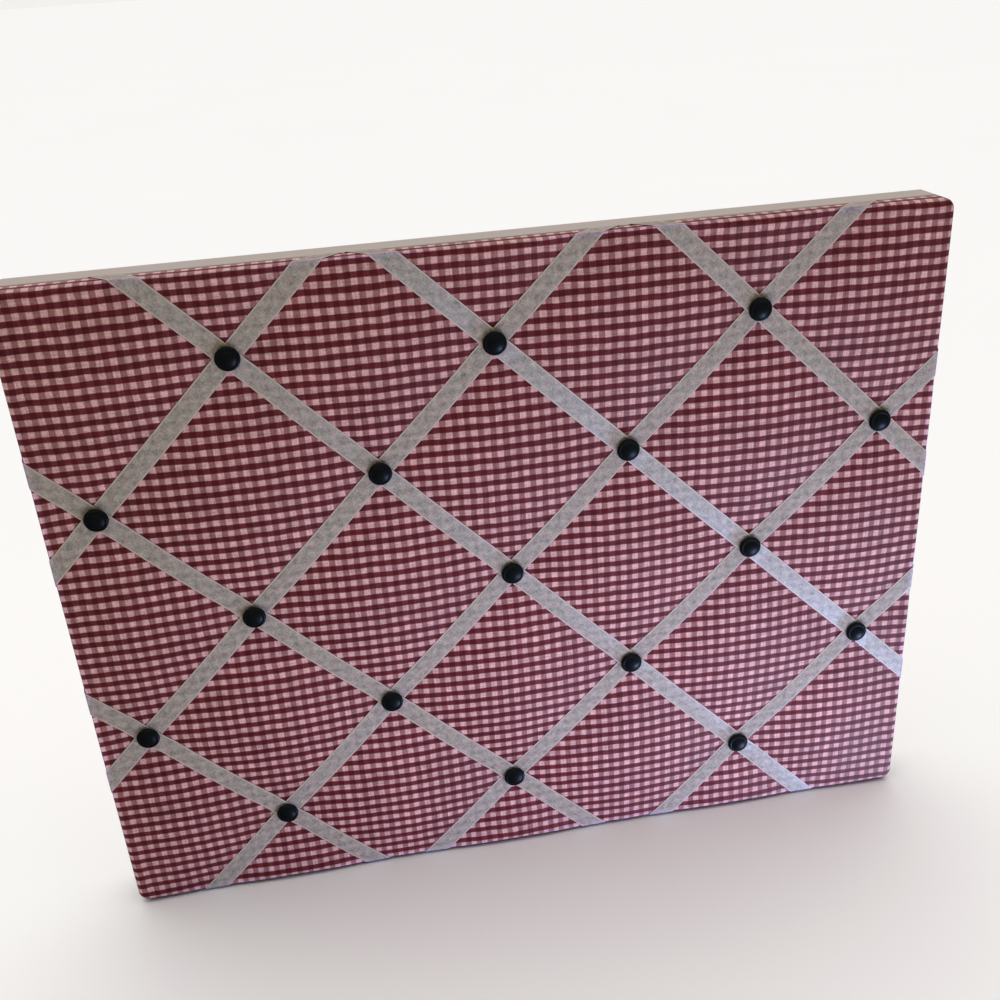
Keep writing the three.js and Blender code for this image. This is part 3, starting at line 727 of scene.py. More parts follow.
def blown_depth(cloth, x, z):
    """Depth of a cloth on a grid of x and z after some frames of pressure from the wadding. It starts with
    less than its full swell and is pinned under the ribbons and along its border."""
    start = crowned(BED_DEPTH + cloth.slack * pillow_rise(x, z, cloth), np.ones(x.shape))
    points = stacked(x, -start, z).reshape(-1, 3)
    made = mesh_object("blown_cloth", points, grid_faces(*x.shape), shared("gingham_cotton", gingham, cloth))
    held = ribbon_distance(x, z) < BLOWN_HOLD
    held[[0, -1]] = True
    held[:, [0, -1]] = True
    made.vertex_groups.new(name="held").add(np.flatnonzero(held).tolist(), 1.0, "REPLACE")
    blown = made.modifiers.new("blown", "CLOTH")
    blown.settings.quality = 6
    blown.settings.vertex_group_mass = "held"
    blown.settings.use_pressure = True
    blown.settings.uniform_pressure_force = cloth.pressure
    blown.settings.effector_weights.gravity = 0
    blown.collision_settings.use_collision = False
    blown.point_cache.frame_end = BLOWN_FRAMES
    scene = bpy.context.scene
    for number in range(1, BLOWN_FRAMES + 1):
        scene.frame_set(number)
    mesh = made.evaluated_get(bpy.context.evaluated_depsgraph_get()).data
    moved = np.empty(3 * len(points))
    mesh.vertices.foreach_get("co", moved)
    scene.frame_set(1)
    spent = made.data
    bpy.data.objects.remove(made)
    bpy.data.meshes.remove(spent)
    return -moved.reshape(*x.shape, 3)[..., 1]


def blown_rise(cloth, x, z):
    """What the simulated cloth adds to the depth of the padded front at x and z: its capped difference
    from the plain pillows, read between the points of its grid, eased to nothing at ribbons and roll."""
    half = HALF - RIM_ROLL
    counts = np.round(2 * half / BLOWN_PITCH).astype(int)
    steps = [np.linspace(-reach, reach, count + 1) for reach, count in zip(half, counts)]
    grid_x, grid_z = np.meshgrid(*steps)
    plain = crowned(BED_DEPTH + pillow_rise(grid_x, grid_z, cloth), np.ones(grid_x.shape))
    gain = np.clip(blown_depth(cloth, grid_x, grid_z) - plain, -BLOWN_CAP / 2, BLOWN_CAP)
    place_x, place_z = [
        np.clip((value + reach) / (2 * reach), 0, 1) * count
        for value, reach, count in zip((x, z), half, counts)]
    column = np.minimum(place_x.astype(int), counts[0] - 1)
    row = np.minimum(place_z.astype(int), counts[1] - 1)
    right = place_x - column
    up = place_z - row
    low = gain[row, column] * (1 - right) + gain[row, column + 1] * right
    high = gain[row + 1, column] * (1 - right) + gain[row + 1, column + 1] * right
    inset = np.minimum(HALF_X - np.abs(x), HALF_Z - np.abs(z))
    free = smooth_step(ribbon_distance(x, z), 5.5 * MM, 9 * MM)
    return free * smooth_step(inset, RIM_ROLL, RIM_ROLL + 4 * MM) * (low * (1 - up) + high * up)


def cover_skirt(top):
    """Rings that carry the cover on from its border at depths top: straight down the side, a quarter circle
    round the back edge and in over the back. Gives each point's distance inward, its depth and its distance
    along the cloth from the border."""
    even = np.zeros(len(top))
    down = np.linspace(0, 1, 6)[1:, None]
    turn = np.linspace(0, math.pi / 2, 6)[1:, None]
    hem = np.linspace(HEM_BEND, HEM_WIDTH, 14)[1:, None]
    drop = top - HEM_DEPTH - HEM_BEND
    inward = np.concatenate((0 * down + even, HEM_BEND * (1 - np.cos(turn)) + even, hem + even))
    depth = np.concatenate((
        top - down * drop, HEM_DEPTH + HEM_BEND * (1 - np.sin(turn)) + even, HEM_DEPTH + 0 * hem + even))
    run = np.concatenate((
        down * drop, drop + HEM_BEND * turn, drop + HEM_BEND * (math.pi / 2 - 1) + hem))
    return inward, depth, run


def roll_excess(inset):
    """How much further out a point of the roll lies on the flat cloth than on the board: the way along the
    quarter ellipse from the roll's inner end, less the way straight across it."""
    angle = np.linspace(0, math.pi / 2, 200)
    across = RIM_ROLL * (1 - np.cos(angle))
    climb = CROWN_RISE * np.sin(angle)
    way = np.concatenate(([0], np.cumsum(np.hypot(np.diff(across), np.diff(climb)))))
    return np.interp(inset, across, (way[-1] - way) - (RIM_ROLL - across))


def cover_shape(cloth):
    """Points, faces and flat coordinates of the cover: the padded front, whose border goes on down the sides
    and in over the back as a hem with a pinked edge."""
    x, z, depth = padded_front(cloth, 0, 0, cloth.pitch, 9)
    depth = depth + blown_rise(cloth, x, z)
    border = border_of(*x.shape)
    edge_x = x.ravel()[border]
    edge_z = z.ravel()[border]
    normal_x, normal_z = outline_normal(edge_x, edge_z)
    inward, level, run = cover_skirt(depth.ravel()[border])
    teeth = np.zeros(inward.shape)
    teeth[-1] = PINKING * (np.arange(len(border)) % 2 - 0.5)
    ring_x = edge_x * (1 - inward / HALF_X) - normal_x * teeth
    ring_z = edge_z * (1 - inward / HALF_Z) - normal_z * teeth
    off_mitre = np.abs((HALF_X - np.abs(ring_x)) - (HALF_Z - np.abs(ring_z)))
    dip = smooth_step(inward, 3 * MM, 9 * MM) * (1 - smooth_step(off_mitre, 0.5 * MM, 5 * MM))
    level = level - 0.25 * MM * dip
    front = stacked(x, -depth, z)
    points, faces = skirted(front, stacked(ring_x, -level, ring_z), closed=False)

    upright = np.abs(normal_x) > np.abs(normal_z)
    on_back = inward > HEM_BEND
    way_x = np.where(on_back, np.sign(normal_x) * upright, normal_x)
    way_z = np.where(on_back, np.sign(normal_z) * ~upright, normal_z)
    beyond = run + roll_excess(0) + inward + 2 * teeth
    flat_x = x + np.sign(x) * roll_excess(HALF_X - np.abs(x))
    flat_z = z + np.sign(z) * roll_excess(HALF_Z - np.abs(z))
    flat = [stacked(*pair).reshape(-1, 2) for pair in (
        (flat_x, flat_z), (ring_x + way_x * beyond, ring_z + way_z * beyond))]
    return points, faces, np.concatenate(flat)


class MEMO_OT_cover(bpy.types.Operator):
    """Stretch the gingham cover over the padding and hem it on the back"""

    bl_idname = "memo.cover"
    bl_label = "Gingham cover"

    def execute(self, context):
        cloth = context.scene.memo_cloth
        points, faces, flat = cover_shape(cloth)
        made = mesh_object("gingham_cover", points, faces, shared("gingham_cotton", gingham, cloth))
        add_uv(made, "cloth", flat)
        thicken(made, cloth.thickness, -1)
        settle(made, "board", "gingham", "cover_fabric")
        return {"FINISHED"}


class MEMO_OT_pad(bpy.types.Operator):
    """Lay the wadding on the panel, swollen into pillows between the ribbons"""

    bl_idname = "memo.pad"
    bl_label = "Wadding pad"

    def execute(self, context):
        cloth = context.scene.memo_cloth
        gap = 0.1 * MM
        seat = PANEL_FRONT + 0.3 * MM
        x, z, depth = padded_front(cloth, CLOTH_LIFT, CLOTH_LIFT + gap, 5 * MM, 5)
        front = stacked(x, -depth, z)
        rim = front.reshape(-1, 3)[border_of(*x.shape)]
        back = rim * (1, 0, 1) - (0, seat, 0)
        points, faces = skirted(front, np.stack((rim * 0.5 + back * 0.5, back)), closed=True)
        made = mesh_object("wadding_pad", points, faces, shared("polyester_wadding", fibre_fill))
        settle(made, "board", "wadding", "wadding")
        return {"FINISHED"}


def ribbon_line(line):
    """Unit normal and direction of a ribbon line, and its point nearest to the board's middle."""
    slant = math.radians(line[0])
    normal = np.array((math.cos(slant), math.sin(slant)))
    return normal, np.array((-normal[1], normal[0])), line[1] * normal


def ribbon_exit(heading, foot):
    """The axis across which a line from its foot leaves the board, and the distance to there."""
    room = (np.sign(heading) * HALF - foot) / heading
    axis = int(np.argmin(room))
    return axis, room[axis]


def ribbon_stations(drop):
    """Outward distances of a ribbon's end from where it starts to turn: a lead up to the edge, a fold, the
    side, a fold and the tail."""
    return np.concatenate((
        np.linspace(-RIBBON_LEAD, 0, 9)[:-1], np.linspace(0, RIBBON_FOLD, 7),
        RIBBON_FOLD + np.linspace(0, drop, 5)[1:], RIBBON_FOLD + drop + np.linspace(0, RIBBON_FOLD, 7)[1:],
        2 * RIBBON_FOLD + drop + np.linspace(0, RIBBON_TAIL, 16)[1:]))


def ribbon_level(line, others, over, run, cloth):
    """Depth of a ribbon's middle along its centre line: the bed with the padding's swell between two
    buttons, lifted by one layer where it passes over a crossing ribbon."""
    _, along, foot = ribbon_line(line)
    x = foot[0] + run * along[0]
    z = foot[1] + run * along[1]
    off = line_distance(others, x, z)
    seat = RIBBON_REST + (RIBBON_SEAT - RIBBON_REST) * (1 - smooth_step(off, 6 * MM, 16 * MM))
    level = BED_DEPTH + seat + cloth.ribbon_swell * fullness(others, x, z)
    if over:
        level = level + RIBBON_LAYER * (1 - smooth_step(off, 6 * MM, 13 * MM))
    return level


def ribbon_shape(line, others, over, cloth, trim):
    """A ribbon as a grid of stations along it and points across it. In the board's plane it is a straight
    strip. Past the outline the plane is folded over the edge: a quarter circle, straight down the side,
    another quarter circle, and back in behind the hem. Gives points, faces and two sets of coordinates."""
    normal, along, foot = ribbon_line(line)
    back = HEM_DEPTH - RIBBON_SEAT - (RIBBON_LAYER if over else 0)
    side = trim.width / 2
    brink = side - 0.06 * MM
    across = np.concatenate(([-side], np.linspace(-brink, brink, 9), [side]))

    ends = []
    runs = []
    skews = []
    for forwards in (-1, 1):
        axis, _ = ribbon_exit(along * forwards, foot)
        sign = np.sign(along[axis] * forwards)
        brow = HALF[axis] + RIBBON_REACH - RIBBON_BEND
        start = (sign * brow - foot[axis]) / along[axis]
        slope = -normal[axis] / along[axis]
        front = ribbon_level(line, others, over, start + across * slope, cloth)
        fall = front - back - 2 * RIBBON_BEND
        stations = ribbon_stations(fall.mean())
        ends.append((axis, sign, brow, front, fall))
        runs.append(start + forwards * stations / abs(along[axis]))
        skews.append(slope * smooth_step(stations, -RIBBON_LEAD, -2 * MM))
    low = runs[0][0]
    high = runs[1][0]
    middle = np.linspace(low, high, max(2, round((high - low) / (2 * MM))))[1:-1]
    run = np.concatenate((runs[0][::-1], middle, runs[1]))
    skew = np.concatenate((skews[0][::-1], np.zeros(len(middle)), skews[1]))
    run = run[:, None] + skew[:, None] * across
    plane = foot + run[..., None] * along + across[:, None] * normal
    sag = 0.08 * MM
    level = ribbon_level(line, others, over, run, cloth) - sag * (across / side) ** 2

    place = plane.copy()
    split = len(runs[0]) + len(middle) // 2
    for rows, (axis, sign, brow, front, fall) in zip((slice(None, split), slice(split, None)), ends):
        past = sign * plane[rows, :, axis] - brow
        first = np.clip(past / RIBBON_BEND, 0, math.pi / 2)
        down = np.clip(past - RIBBON_FOLD, 0, fall)
        second = np.clip((past - RIBBON_FOLD - fall) / RIBBON_BEND, 0, math.pi / 2)
        inward = np.clip(past - 2 * RIBBON_FOLD - fall, 0, None)
        out = np.minimum(past, 0) + RIBBON_BEND * (np.sin(first) - 1 + np.cos(second)) - inward
        folded = front - RIBBON_BEND * (1 - np.cos(first) + np.sin(second)) - down
        place[rows, :, axis] = sign * (brow + out)
        level[rows] = np.where(past > 0, folded, level[rows])
    points = stacked(place[..., 0], -level, place[..., 1])
    strip = stacked(run, across)
    return points.reshape(-1, 3), grid_faces(*run.shape), strip.reshape(-1, 2), plane.reshape(-1, 2)


class MEMO_OT_ribbons(bpy.types.Operator):
    """Lay the ten ribbons over the cover, the falling ones over the rising ones, and turn in their ends"""

    bl_idname = "memo.ribbons"
    bl_label = "Ribbons"

    def execute(self, context):
        cloth = context.scene.memo_cloth
        trim = context.scene.memo_trim
        look = shared("ribbon_satin", satin, cloth, trim)
        ways = (("rising", RISING, FALLING, False), ("falling", FALLING, RISING, True))
        for way, lines, others, over in ways:
            for number, line in enumerate(lines, 1):
                points, faces, strip, plane = ribbon_shape(line, others, over, cloth, trim)
                made = mesh_object(f"satin_{way}_{number}", points, faces, look)
                add_uv(made, "ribbon", strip)
                add_uv(made, "cloth", plane)
                thicken(made, trim.thickness, 0)
                settle(made, "board", "ribbon", f"ribbon_{way}_{number}")
        return {"FINISHED"}


def lathe(profile, sides):
    """A profile of radius and height turned about the vertical, one row of points for each of its own."""
    angle = np.arange(sides) * 2 * math.pi / sides
    radius, height = np.asarray(profile, dtype=float).T[..., None]
    return stacked(radius * np.cos(angle), radius * np.sin(angle), height)


def eased(points, count):
    """A smooth curve through points (Catmull-Rom), as that many points for each gap."""
    points = np.asarray(points, dtype=float)
    before = np.concatenate((2 * points[:1] - points[1:2], points[:-2]))
    after = np.concatenate((points[2:], 2 * points[-1:] - points[-2:-1]))
    share = (np.arange(count) / count)[None, :, None]
    start, end = points[:-1, None], points[1:, None]
    lean_a = (end - before[:, None]) / 2
    lean_b = (after[:, None] - start) / 2
    curve = (start * (2 * share ** 3 - 3 * share ** 2 + 1) + end * (3 * share ** 2 - 2 * share ** 3)
             + lean_a * (share ** 3 - 2 * share ** 2 + share) + lean_b * (share ** 3 - share ** 2))
    return np.concatenate((curve.reshape(-1, points.shape[1]), points[-1:]))


class MEMO_OT_buttons(bpy.types.Operator):
    """Set a black domed button on every crossing"""

    bl_idname = "memo.buttons"
    bl_label = "Buttons"

    def execute(self, context):
        look = shared("black_plastic", black_plastic, context.scene.memo_trim)
        rings = lathe(eased(BUTTON_PROFILE, 3) * MM, 48)
        for number in BUTTONS:
            low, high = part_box(f"button_{number}")
            turned = stacked(
                rings[..., 0] + (low[0] + high[0]) / 2, high[1] - rings[..., 2],
                rings[..., 1] + (low[2] + high[2]) / 2)
            points, faces = tube(turned)
            made = outward(mesh_object(f"domed_button_{number}", points, faces, look))
            settle(made, "board", "button", f"button_{number}")
        return {"FINISHED"}


class MEMO_OT_panel(bpy.types.Operator):
    """Finish the panel and the button pins, whose solids stay"""

    bl_idname = "memo.panel"
    bl_label = "Panel and pins"

    def execute(self, context):
        look = context.scene.memo_frame
        finishes = {"panel_board": shared("pressed_hardboard", hardboard, look)}
        for number in BUTTONS:
            finishes[f"button_pin_{number}"] = shared("plated_steel", plated_steel, look)
        for name, finish in finishes.items():
            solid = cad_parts[name]
            solid.data.materials.clear()
            solid.data.materials.append(finish)
        return {"FINISHED"}


def rail_shape(length, edge):
    """A rail along its own length: a rectangle with rounded edges, whose every line ends where it meets the
    mitre or the board's round corner. Gives rows of (along, inward, depth)."""
    turn = np.linspace(0, math.pi / 2, 5)
    corner = edge * (1 - np.cos(turn))
    lean = edge * (1 - np.sin(turn))
    kink = CORNER_RADIUS * (1 - math.sqrt(0.5))
    inward = np.concatenate((corner, np.linspace(edge, kink, 4)[1:], RAIL_WIDTH - corner[::-1]))
    depth = np.concatenate((lean, np.zeros(3), lean[::-1]))
    inward = np.concatenate((inward, inward[::-1]))
    depth = np.concatenate((depth, RAIL_DEPTH - depth[::-1]))
    mitre = length / 2 - inward - MITRE_GAP
    arc = length / 2 - CORNER_RADIUS + np.sqrt(
        np.clip(CORNER_RADIUS ** 2 - np.clip(CORNER_RADIUS - inward, 0, None) ** 2, 0, None))
    half = np.minimum(mitre, arc)
    share = np.linspace(-1, 1, 9)[:, None]
    return stacked(share * half, inward, depth)


def mirrored_ends(stations, count):
    """Quads over both ends of a tube whose profile is its own mirror image: each spans two neighbouring
    points and their images."""
    point = np.arange(count // 2 - 1)
    quads = stacked(point, point + 1, count - 2 - point, count - 1 - point)
    return np.concatenate((quads, quads + (stations - 1) * count))


class MEMO_OT_rails(bpy.types.Operator):
    """Join the four painted rails behind the panel"""

    bl_idname = "memo.rails"
    bl_label = "Frame rails"

    def execute(self, context):
        look = context.scene.memo_frame
        finish = shared("brushed_paint", painted_wood, look)
        sides = (("top", False, 1), ("bottom", False, -1), ("left", True, -1), ("right", True, 1))
        for side, upright, sign in sides:
            reach, half = (HALF_X, HALF_Z) if upright else (HALF_Z, HALF_X)
            along, inward, depth = np.moveaxis(rail_shape(2 * half, look.edge), -1, 0)
            out = sign * (reach - inward)
            where = (out, -depth, along) if upright else (along, -depth, out)
            points = stacked(*where).reshape(-1, 3)
            stations, count = along.shape
            faces = np.concatenate((grid_faces(stations, count, wrap=True), mirrored_ends(stations, count)))
            made = mesh_object(f"painted_rail_{side}", points, faces, finish, smooth=False)
            girth = np.arange(count) * RAIL_STEP
            add_uv(made, "rail", stacked(along, girth).reshape(-1, 2))
            outward(made)
            settle(made, "board", "painted_wood", f"rail_{side}")
        return {"FINISHED"}


def directions(path):
    """Unit directions along a path of points."""
    ahead = np.gradient(path, axis=0)
    return ahead / np.linalg.norm(ahead, axis=1, keepdims=True)


def swept(path, across, radius, sides):
    """A round bar along a closed path in a plane: at each station a circle whose axes are the direction
    across and the path's normal in its plane."""
    ahead = np.roll(path, -1, axis=0) - np.roll(path, 1, axis=0)
    ahead = ahead / np.linalg.norm(ahead, axis=1, keepdims=True)
    normal = np.cross(ahead, across)
    angle = (np.arange(sides) * 2 * math.pi / sides)[:, None]
    return path[:, None] + radius * (np.cos(angle) * np.asarray(across) + np.sin(angle) * normal[:, None])


def arc_points(centre, radius, start, end, count):
    """Points on an arc, from a start to an end angle in degrees."""
    angle = np.radians(np.linspace(start, end, count))
    return stacked(centre[0] + radius * np.cos(angle), centre[1] + radius * np.sin(angle))


def ring_shape(x, pivot):
    """D-ring: a round wire along a straight bar, two small corners and a half circle below, in the plane
    just behind the rails. Its sizes are in millimetres."""
    bar = 6
    corner = 2
    bow = bar + corner
    plane = np.concatenate((
        stacked(np.linspace(-bar, bar, 9)[:-1], 0),
        arc_points((bar, -corner), corner, 90, 0, 8)[:-1], arc_points((0, -3), bow, 0, -180, 48),
        arc_points((-bar, -corner), corner, 180, 90, 8)[:-1])) * MM
    path = stacked(plane[:, 0] + x, pivot[0], plane[:, 1] + pivot[1])
    return swept(path, (0, 1, 0), RING_WIRE, 18)


def strap_shape(x, pivot):
    """Hanger strap: a flat strip that lies on the rail, turns once round the ring's bar and closes on
    itself. Its lower end is a half circle. Its sizes are in millimetres."""
    thick = 0.45  # half the strip's thickness
    wide = 4.5  # half its width, and the radius of its end
    end = -22.5
    eye = 2.3  # from the rail to the middle of the ring's bar
    rounded = end + wide * (1 - np.cos(np.linspace(0, math.pi / 2, 12)))
    rise = np.concatenate((rounded, np.linspace(end + wide, -1.2, 11)[1:]))
    flat = stacked(thick, rise)
    line = np.concatenate((flat, arc_points((eye, 0), eye - thick, 180, -158, 30)))
    width = np.full(len(line), wide)
    width[:len(rounded)] = np.sqrt(np.clip(wide ** 2 - (wide - rounded + end) ** 2, 0.01, None))
    ahead = directions(line)
    normal = stacked(ahead[:, 1], -ahead[:, 0])
    soft = 0.12  # rounding of the strip's edges
    flank = 1 - soft / wide
    wall = thick - soft
    front = [(-1, -wall), (-flank, -thick), (0, -thick), (flank, -thick), (1, -wall)]
    section = np.array(front + [(-side, -level) for side, level in front])
    side = width[:, None] * section[:, 0]
    spot = line[:, None] + section[:, 1][None, :, None] * normal[:, None]
    return stacked(x + side * MM, spot[..., 0] * MM, pivot[1] + spot[..., 1] * MM)


def screw_shape(x, z):
    """Pan-head screw: a domed square grid drawn onto a disc, sunk by a soft-walled cross, then rings down
    the head, in to the shank and down to the point. Its sizes are in millimetres."""
    head = 3.5
    brim = 2.05  # height of the dome's foot over the rail
    steps = np.linspace(-1, 1, 57)
    u, v = np.meshgrid(steps, steps)
    disc_x = head * u * np.sqrt(1 - v ** 2 / 2)
    disc_z = head * v * np.sqrt(1 - u ** 2 / 2)
    dome = brim + 1.25 * np.sqrt(np.clip(1 - (np.hypot(disc_x, disc_z) / 3.6) ** 2, 0, None))
    slots = [
        (1 - smooth_step(np.abs(narrow), 0.4, 0.55)) * (1 - smooth_step(np.abs(long), 1.8, 2.05))
        for narrow, long in ((disc_x, disc_z), (disc_z, disc_x))]
    front = stacked(disc_x, dome - 1.1 * np.maximum(*slots), disc_z)
    rim = front.reshape(-1, 3)[border_of(*u.shape)] / head
    rings = np.stack([
        stacked(rim[:, 0] * wide, level, rim[:, 2] * wide)
        for wide, level in ((head, 1.5), (3.35, 1.25), (1.5, 1.2), (1.5, -8), (0.2, -10.9))])
    points, faces = skirted(front, rings, closed=True)
    return points * MM + (x, 0, z), faces


class MEMO_OT_hangers(bpy.types.Operator):
    """Screw the two straps with their D-rings to the side rails"""

    bl_idname = "memo.hangers"
    bl_label = "Hangers"

    def execute(self, context):
        steel = shared("plated_steel", plated_steel, context.scene.memo_frame)
        for side in ("left", "right"):
            low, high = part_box(f"hanger_ring_{side}")
            x = (low[0] + high[0]) / 2
            pivot = ((low[1] + high[1]) / 2, high[2] - RING_WIRE)
            ring = outward(mesh_object(f"d_ring_{side}", *tube(ring_shape(x, pivot), capped=False), steel))
            settle(ring, f"ring_{side}", "steel", f"hanger_ring_{side}")
            strap = outward(mesh_object(f"strap_{side}", *tube(strap_shape(x, pivot)), steel))
            settle(strap, "board", "steel", f"hanger_strap_{side}")
            low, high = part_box(f"hanger_screw_{side}")
            points, faces = screw_shape(x, (low[2] + high[2]) / 2)
            screw = outward(mesh_object(f"pan_screw_{side}", points, faces, steel))
            settle(screw, "board", "steel", f"hanger_screw_{side}")
        return {"FINISHED"}


def staple_shapes(places):
    """Staples at rows of x, depth, z and turn: a flat wire along each crown, bent down at both ends. One
    small profile is carried along one path, in millimetres, for all of them at once."""
    leg = [(-5, -0.9), (-5, 0.15), (-4.8, 0.42), (-4.4, 0.5)]
    path = np.array(leg + [(-along, rise) for along, rise in reversed(leg)])
    ahead = directions(path)
    normal = stacked(-ahead[:, 1], ahead[:, 0])
    face = [(-0.5, -0.18), (-0.4, -0.25), (0.4, -0.25), (0.5, -0.18)]
    section = np.array(face + [(-wide, -thick) for wide, thick in face])
    run = (path[:, None, 0] + section[None, :, 1] * normal[:, None, 0]) * MM
    rise = (path[:, None, 1] + section[None, :, 1] * normal[:, None, 1]) * MM
    wide = section[:, 0] * MM
    points = []
    faces = []
    for x, depth, z, turn in places:
        ring = stacked(
            x + run * math.cos(turn) - wide * math.sin(turn), rise - depth,
            z + run * math.sin(turn) + wide * math.cos(turn))
        one, sides = tube(ring)
        start = len(one) * len(points)
        points.append(one)
        faces += [[corner + start for corner in side] for side in sides]
    return np.concatenate(points), faces


def tail_places(lines, back):
    """Where the two tails of each ribbon in a set are stapled: x, depth, z and turn."""
    inward = 23.6 * MM
    turned = BED_DEPTH - back + inward
    places = []
    for line in lines:
        _, along, foot = ribbon_line(line)
        for heading in (-along, along):
            axis, room = ribbon_exit(heading, foot)
            spot = foot + heading * (room + turned / abs(heading[axis]))
            spot[axis] = np.sign(heading[axis]) * (HALF[axis] - inward)
            places.append((spot[0], back, spot[1], math.pi / 2 if axis == 0 else 0.0))
    return places


class MEMO_OT_staples(bpy.types.Operator):
    """Staple the hem and the ribbons' tails to the back of the panel"""

    bl_idname = "memo.staples"
    bl_label = "Hem staples"

    def execute(self, context):
        look = context.scene.memo_frame
        chance = np.random.default_rng(7)
        lowest = HEM_DEPTH - 0.75 * MM
        places = tail_places(RISING, lowest) + tail_places(FALLING, lowest - RIBBON_LAYER)
        held = np.array([(x, z) for x, _, z, _ in places])
        inward = 27 * MM
        corner = 40 * MM
        clear = 17 * MM
        for half, other, upright in ((HALF_X, HALF_Z, False), (HALF_Z, HALF_X, True)):
            room = half - corner
            for sign in (-1, 1):
                for run in np.linspace(-room, room, round(2 * room / look.staple_gap) + 1):
                    run = run + chance.uniform(-4, 4) * MM
                    out = sign * (other - inward + chance.uniform(-1, 1) * MM)
                    spot = (out, run) if upright else (run, out)
                    if np.min(np.hypot(*(held - spot).T)) < clear:
                        continue
                    turn = (math.pi / 2 if upright else 0) + chance.uniform(-0.12, 0.12)
                    places.append((spot[0], HEM_DEPTH, spot[1], turn))
        points, faces = staple_shapes(places)
        made = mesh_object("hem_staples", points, faces, shared("plated_steel", plated_steel, look))
        settle(outward(made), "board", "steel")
        return {"FINISHED"}


def area_light(name, place, aim, size, power, colour):
    """A soft light of a width and a height at a place, facing a point."""
    lamp = bpy.data.lights.new(name, "AREA")
    lamp.shape = "RECTANGLE"
    lamp.size, lamp.size_y = size
    lamp.energy = power
    lamp.color = colour
    made = bpy.data.objects.new(name, lamp)
    made.visible_camera = False
    bpy.context.collection.objects.link(made)
    back = np.subtract(place, aim)
    made.matrix_world = Matrix.Translation(place) @ turned_to(-back, np.cross((0, 0, 1), back))
    return made


def turned_to(ahead, right):
    """Rotation whose Z axis points back from what is looked at, and whose X axis lies towards the right."""
    ahead = ahead / np.linalg.norm(ahead)
    right = right - ahead * np.dot(right, ahead)
    right = right / np.linalg.norm(right)
    return Matrix((right, np.cross(right, ahead), -ahead)).transposed().to_4x4()


def studio_sky(scene, power):
    """Soft light from above and a little behind: the cube of the upward part of a direction, and a pale band
    at the horizon."""
    world = bpy.data.worlds.new("studio_sky")
    sky = Nodes(world)
    _, behind, up = sky.axes(sky.node("TexCoord").outputs["Generated"])
    high = sky.node("Math", {0: up, 1: 3}, operation="POWER", use_clamp=True).outputs[0]
    lean = sky.math("MULTIPLY_ADD", behind, 0.6 * power, 0.6 * power)
    band = sky.spread(up, 0.0, 0.06, 0.9, 0.0, smooth=False)
    over = sky.math("GREATER_THAN", up, -0.01)
    strength = sky.math("MULTIPLY_ADD", band, over, sky.math("MULTIPLY", high, lean))
    background = sky.tree.nodes["Background"]
    sky.feed(background.inputs["Strength"], strength)
    sky.feed(background.inputs["Color"], (1, 0.98, 0.95))
    scene.world = world


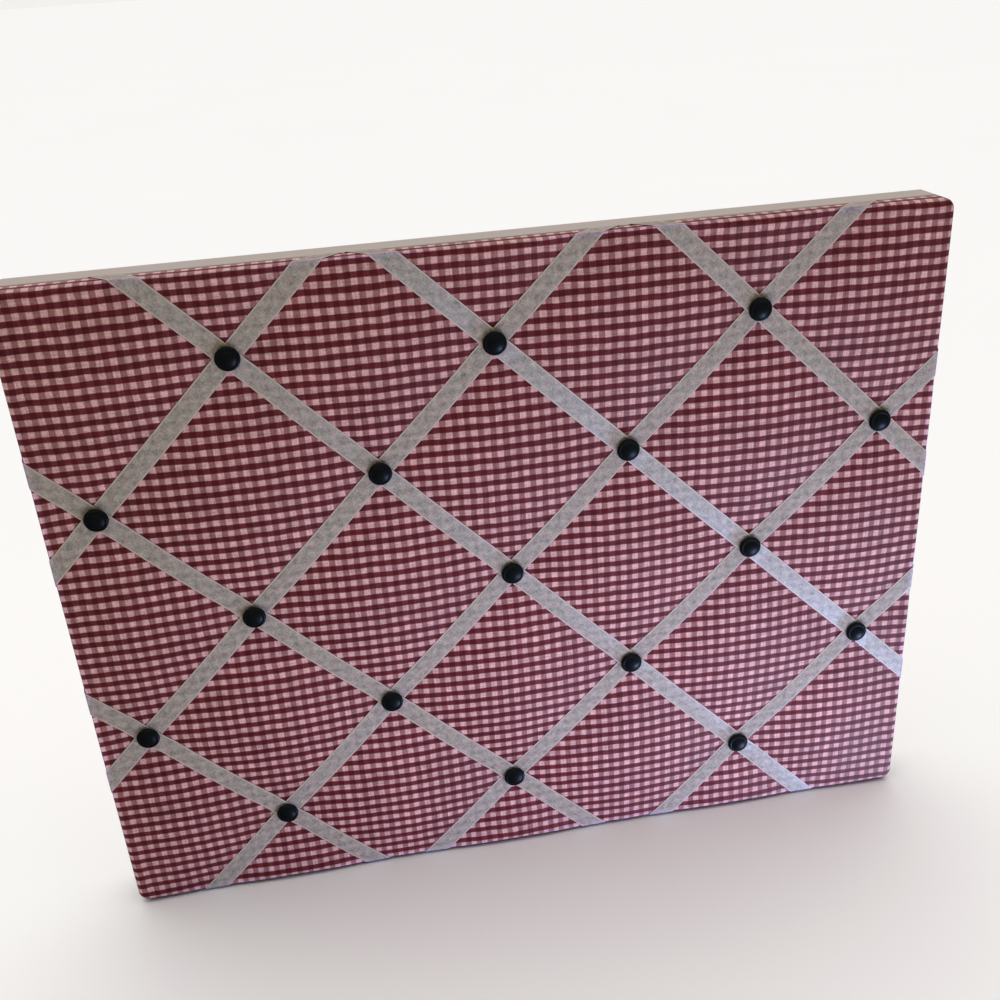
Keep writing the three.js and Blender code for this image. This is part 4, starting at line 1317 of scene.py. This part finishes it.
class MEMO_OT_stage(bpy.types.Operator):
    """Set up the floor, the lights and the camera"""

    bl_idname = "memo.stage"
    bl_label = "Stage"

    def execute(self, context):
        stage = context.scene.memo_stage
        ground = CAD_BOX[0][2] - 0.5 * MM
        rings = lathe([(1e-5, ground), (0.5, ground), (3, ground), (15, ground), (60, ground)], 64)
        floor = mesh_object(
            "studio_floor", rings.reshape(-1, 3), grid_faces(*rings.shape[:2], wrap=True),
            shared("studio_floor", studio_floor, stage))
        floor.visible_glossy = False
        window = area_light(
            "window_light", place=(0.14, -0.36, -0.16), aim=(0.08, 0, -0.08), size=(0.4, 0.25),
            power=stage.key, colour=(0.42, 0.473, 1.0))
        window.visible_glossy = False
        gleam = area_light(
            "gleam_light", place=(0.7, -0.4, -0.8), aim=(0.1, 0, -0.1), size=(0.3, 0.3),
            power=stage.gleam, colour=(0.42, 0.6, 1.0))
        gleam.visible_diffuse = False
        apart = bpy.data.collections.new("floor_apart")
        apart.objects.link(floor)
        apart.collection_objects[0].light_linking.link_state = "EXCLUDE"
        for lamp in (window, gleam):
            lamp.light_linking.receiver_collection = apart
            lamp.light_linking.blocker_collection = apart
        studio_sky(context.scene, stage.sky)
        context.scene.view_settings.view_transform = "Standard"

        lens = bpy.data.cameras.new("camera")
        lens.sensor_width = 36
        lens.lens = CAMERA_LENS
        lens.clip_start = 0.01
        camera = bpy.data.objects.new("camera", lens)
        bpy.context.collection.objects.link(camera)
        camera.matrix_world = Matrix.Translation(CAMERA_PLACE) @ turned_to(CAMERA_AHEAD, CAMERA_RIGHT)
        context.scene.camera = camera
        return {"FINISHED"}


OPERATORS = (
    MEMO_OT_pad, MEMO_OT_cover, MEMO_OT_ribbons, MEMO_OT_buttons, MEMO_OT_panel, MEMO_OT_rails,
    MEMO_OT_hangers, MEMO_OT_staples, MEMO_OT_stage)


class MEMO_PT_board(bpy.types.Panel):
    """Sizes and colours of the memo board, and a button for each group of pieces"""

    bl_label = "Memo board"
    bl_idname = "MEMO_PT_board"
    bl_space_type = "VIEW_3D"
    bl_region_type = "UI"
    bl_category = "Memo board"

    def draw(self, context):
        for group in GROUPS:
            box = self.layout.box()
            values = getattr(context.scene, group)
            for key in values.__annotations__:
                box.prop(values, key)
        for operator in OPERATORS:
            self.layout.operator(operator.bl_idname)


GROUPS = {
    "memo_cloth": MemoBoardCloth,
    "memo_trim": MemoBoardTrim,
    "memo_frame": MemoBoardFrame,
    "memo_stage": MemoBoardStage,
}
CLASSES = (*GROUPS.values(), *OPERATORS, MEMO_PT_board)


def register():
    for made in CLASSES:
        bpy.utils.register_class(made)
    for name, group in GROUPS.items():
        setattr(bpy.types.Scene, name, PointerProperty(type=group))


def unregister():
    for name in GROUPS:
        delattr(bpy.types.Scene, name)
    for made in reversed(CLASSES):
        bpy.utils.unregister_class(made)


def main():
    register()
    bpy.ops.memo.pad()
    bpy.ops.memo.cover()
    bpy.ops.memo.ribbons()
    bpy.ops.memo.buttons()
    bpy.ops.memo.panel()
    bpy.ops.memo.rails()
    bpy.ops.memo.hangers()
    bpy.ops.memo.staples()
    bpy.ops.memo.stage()


if __name__ == "__main__":
    main()
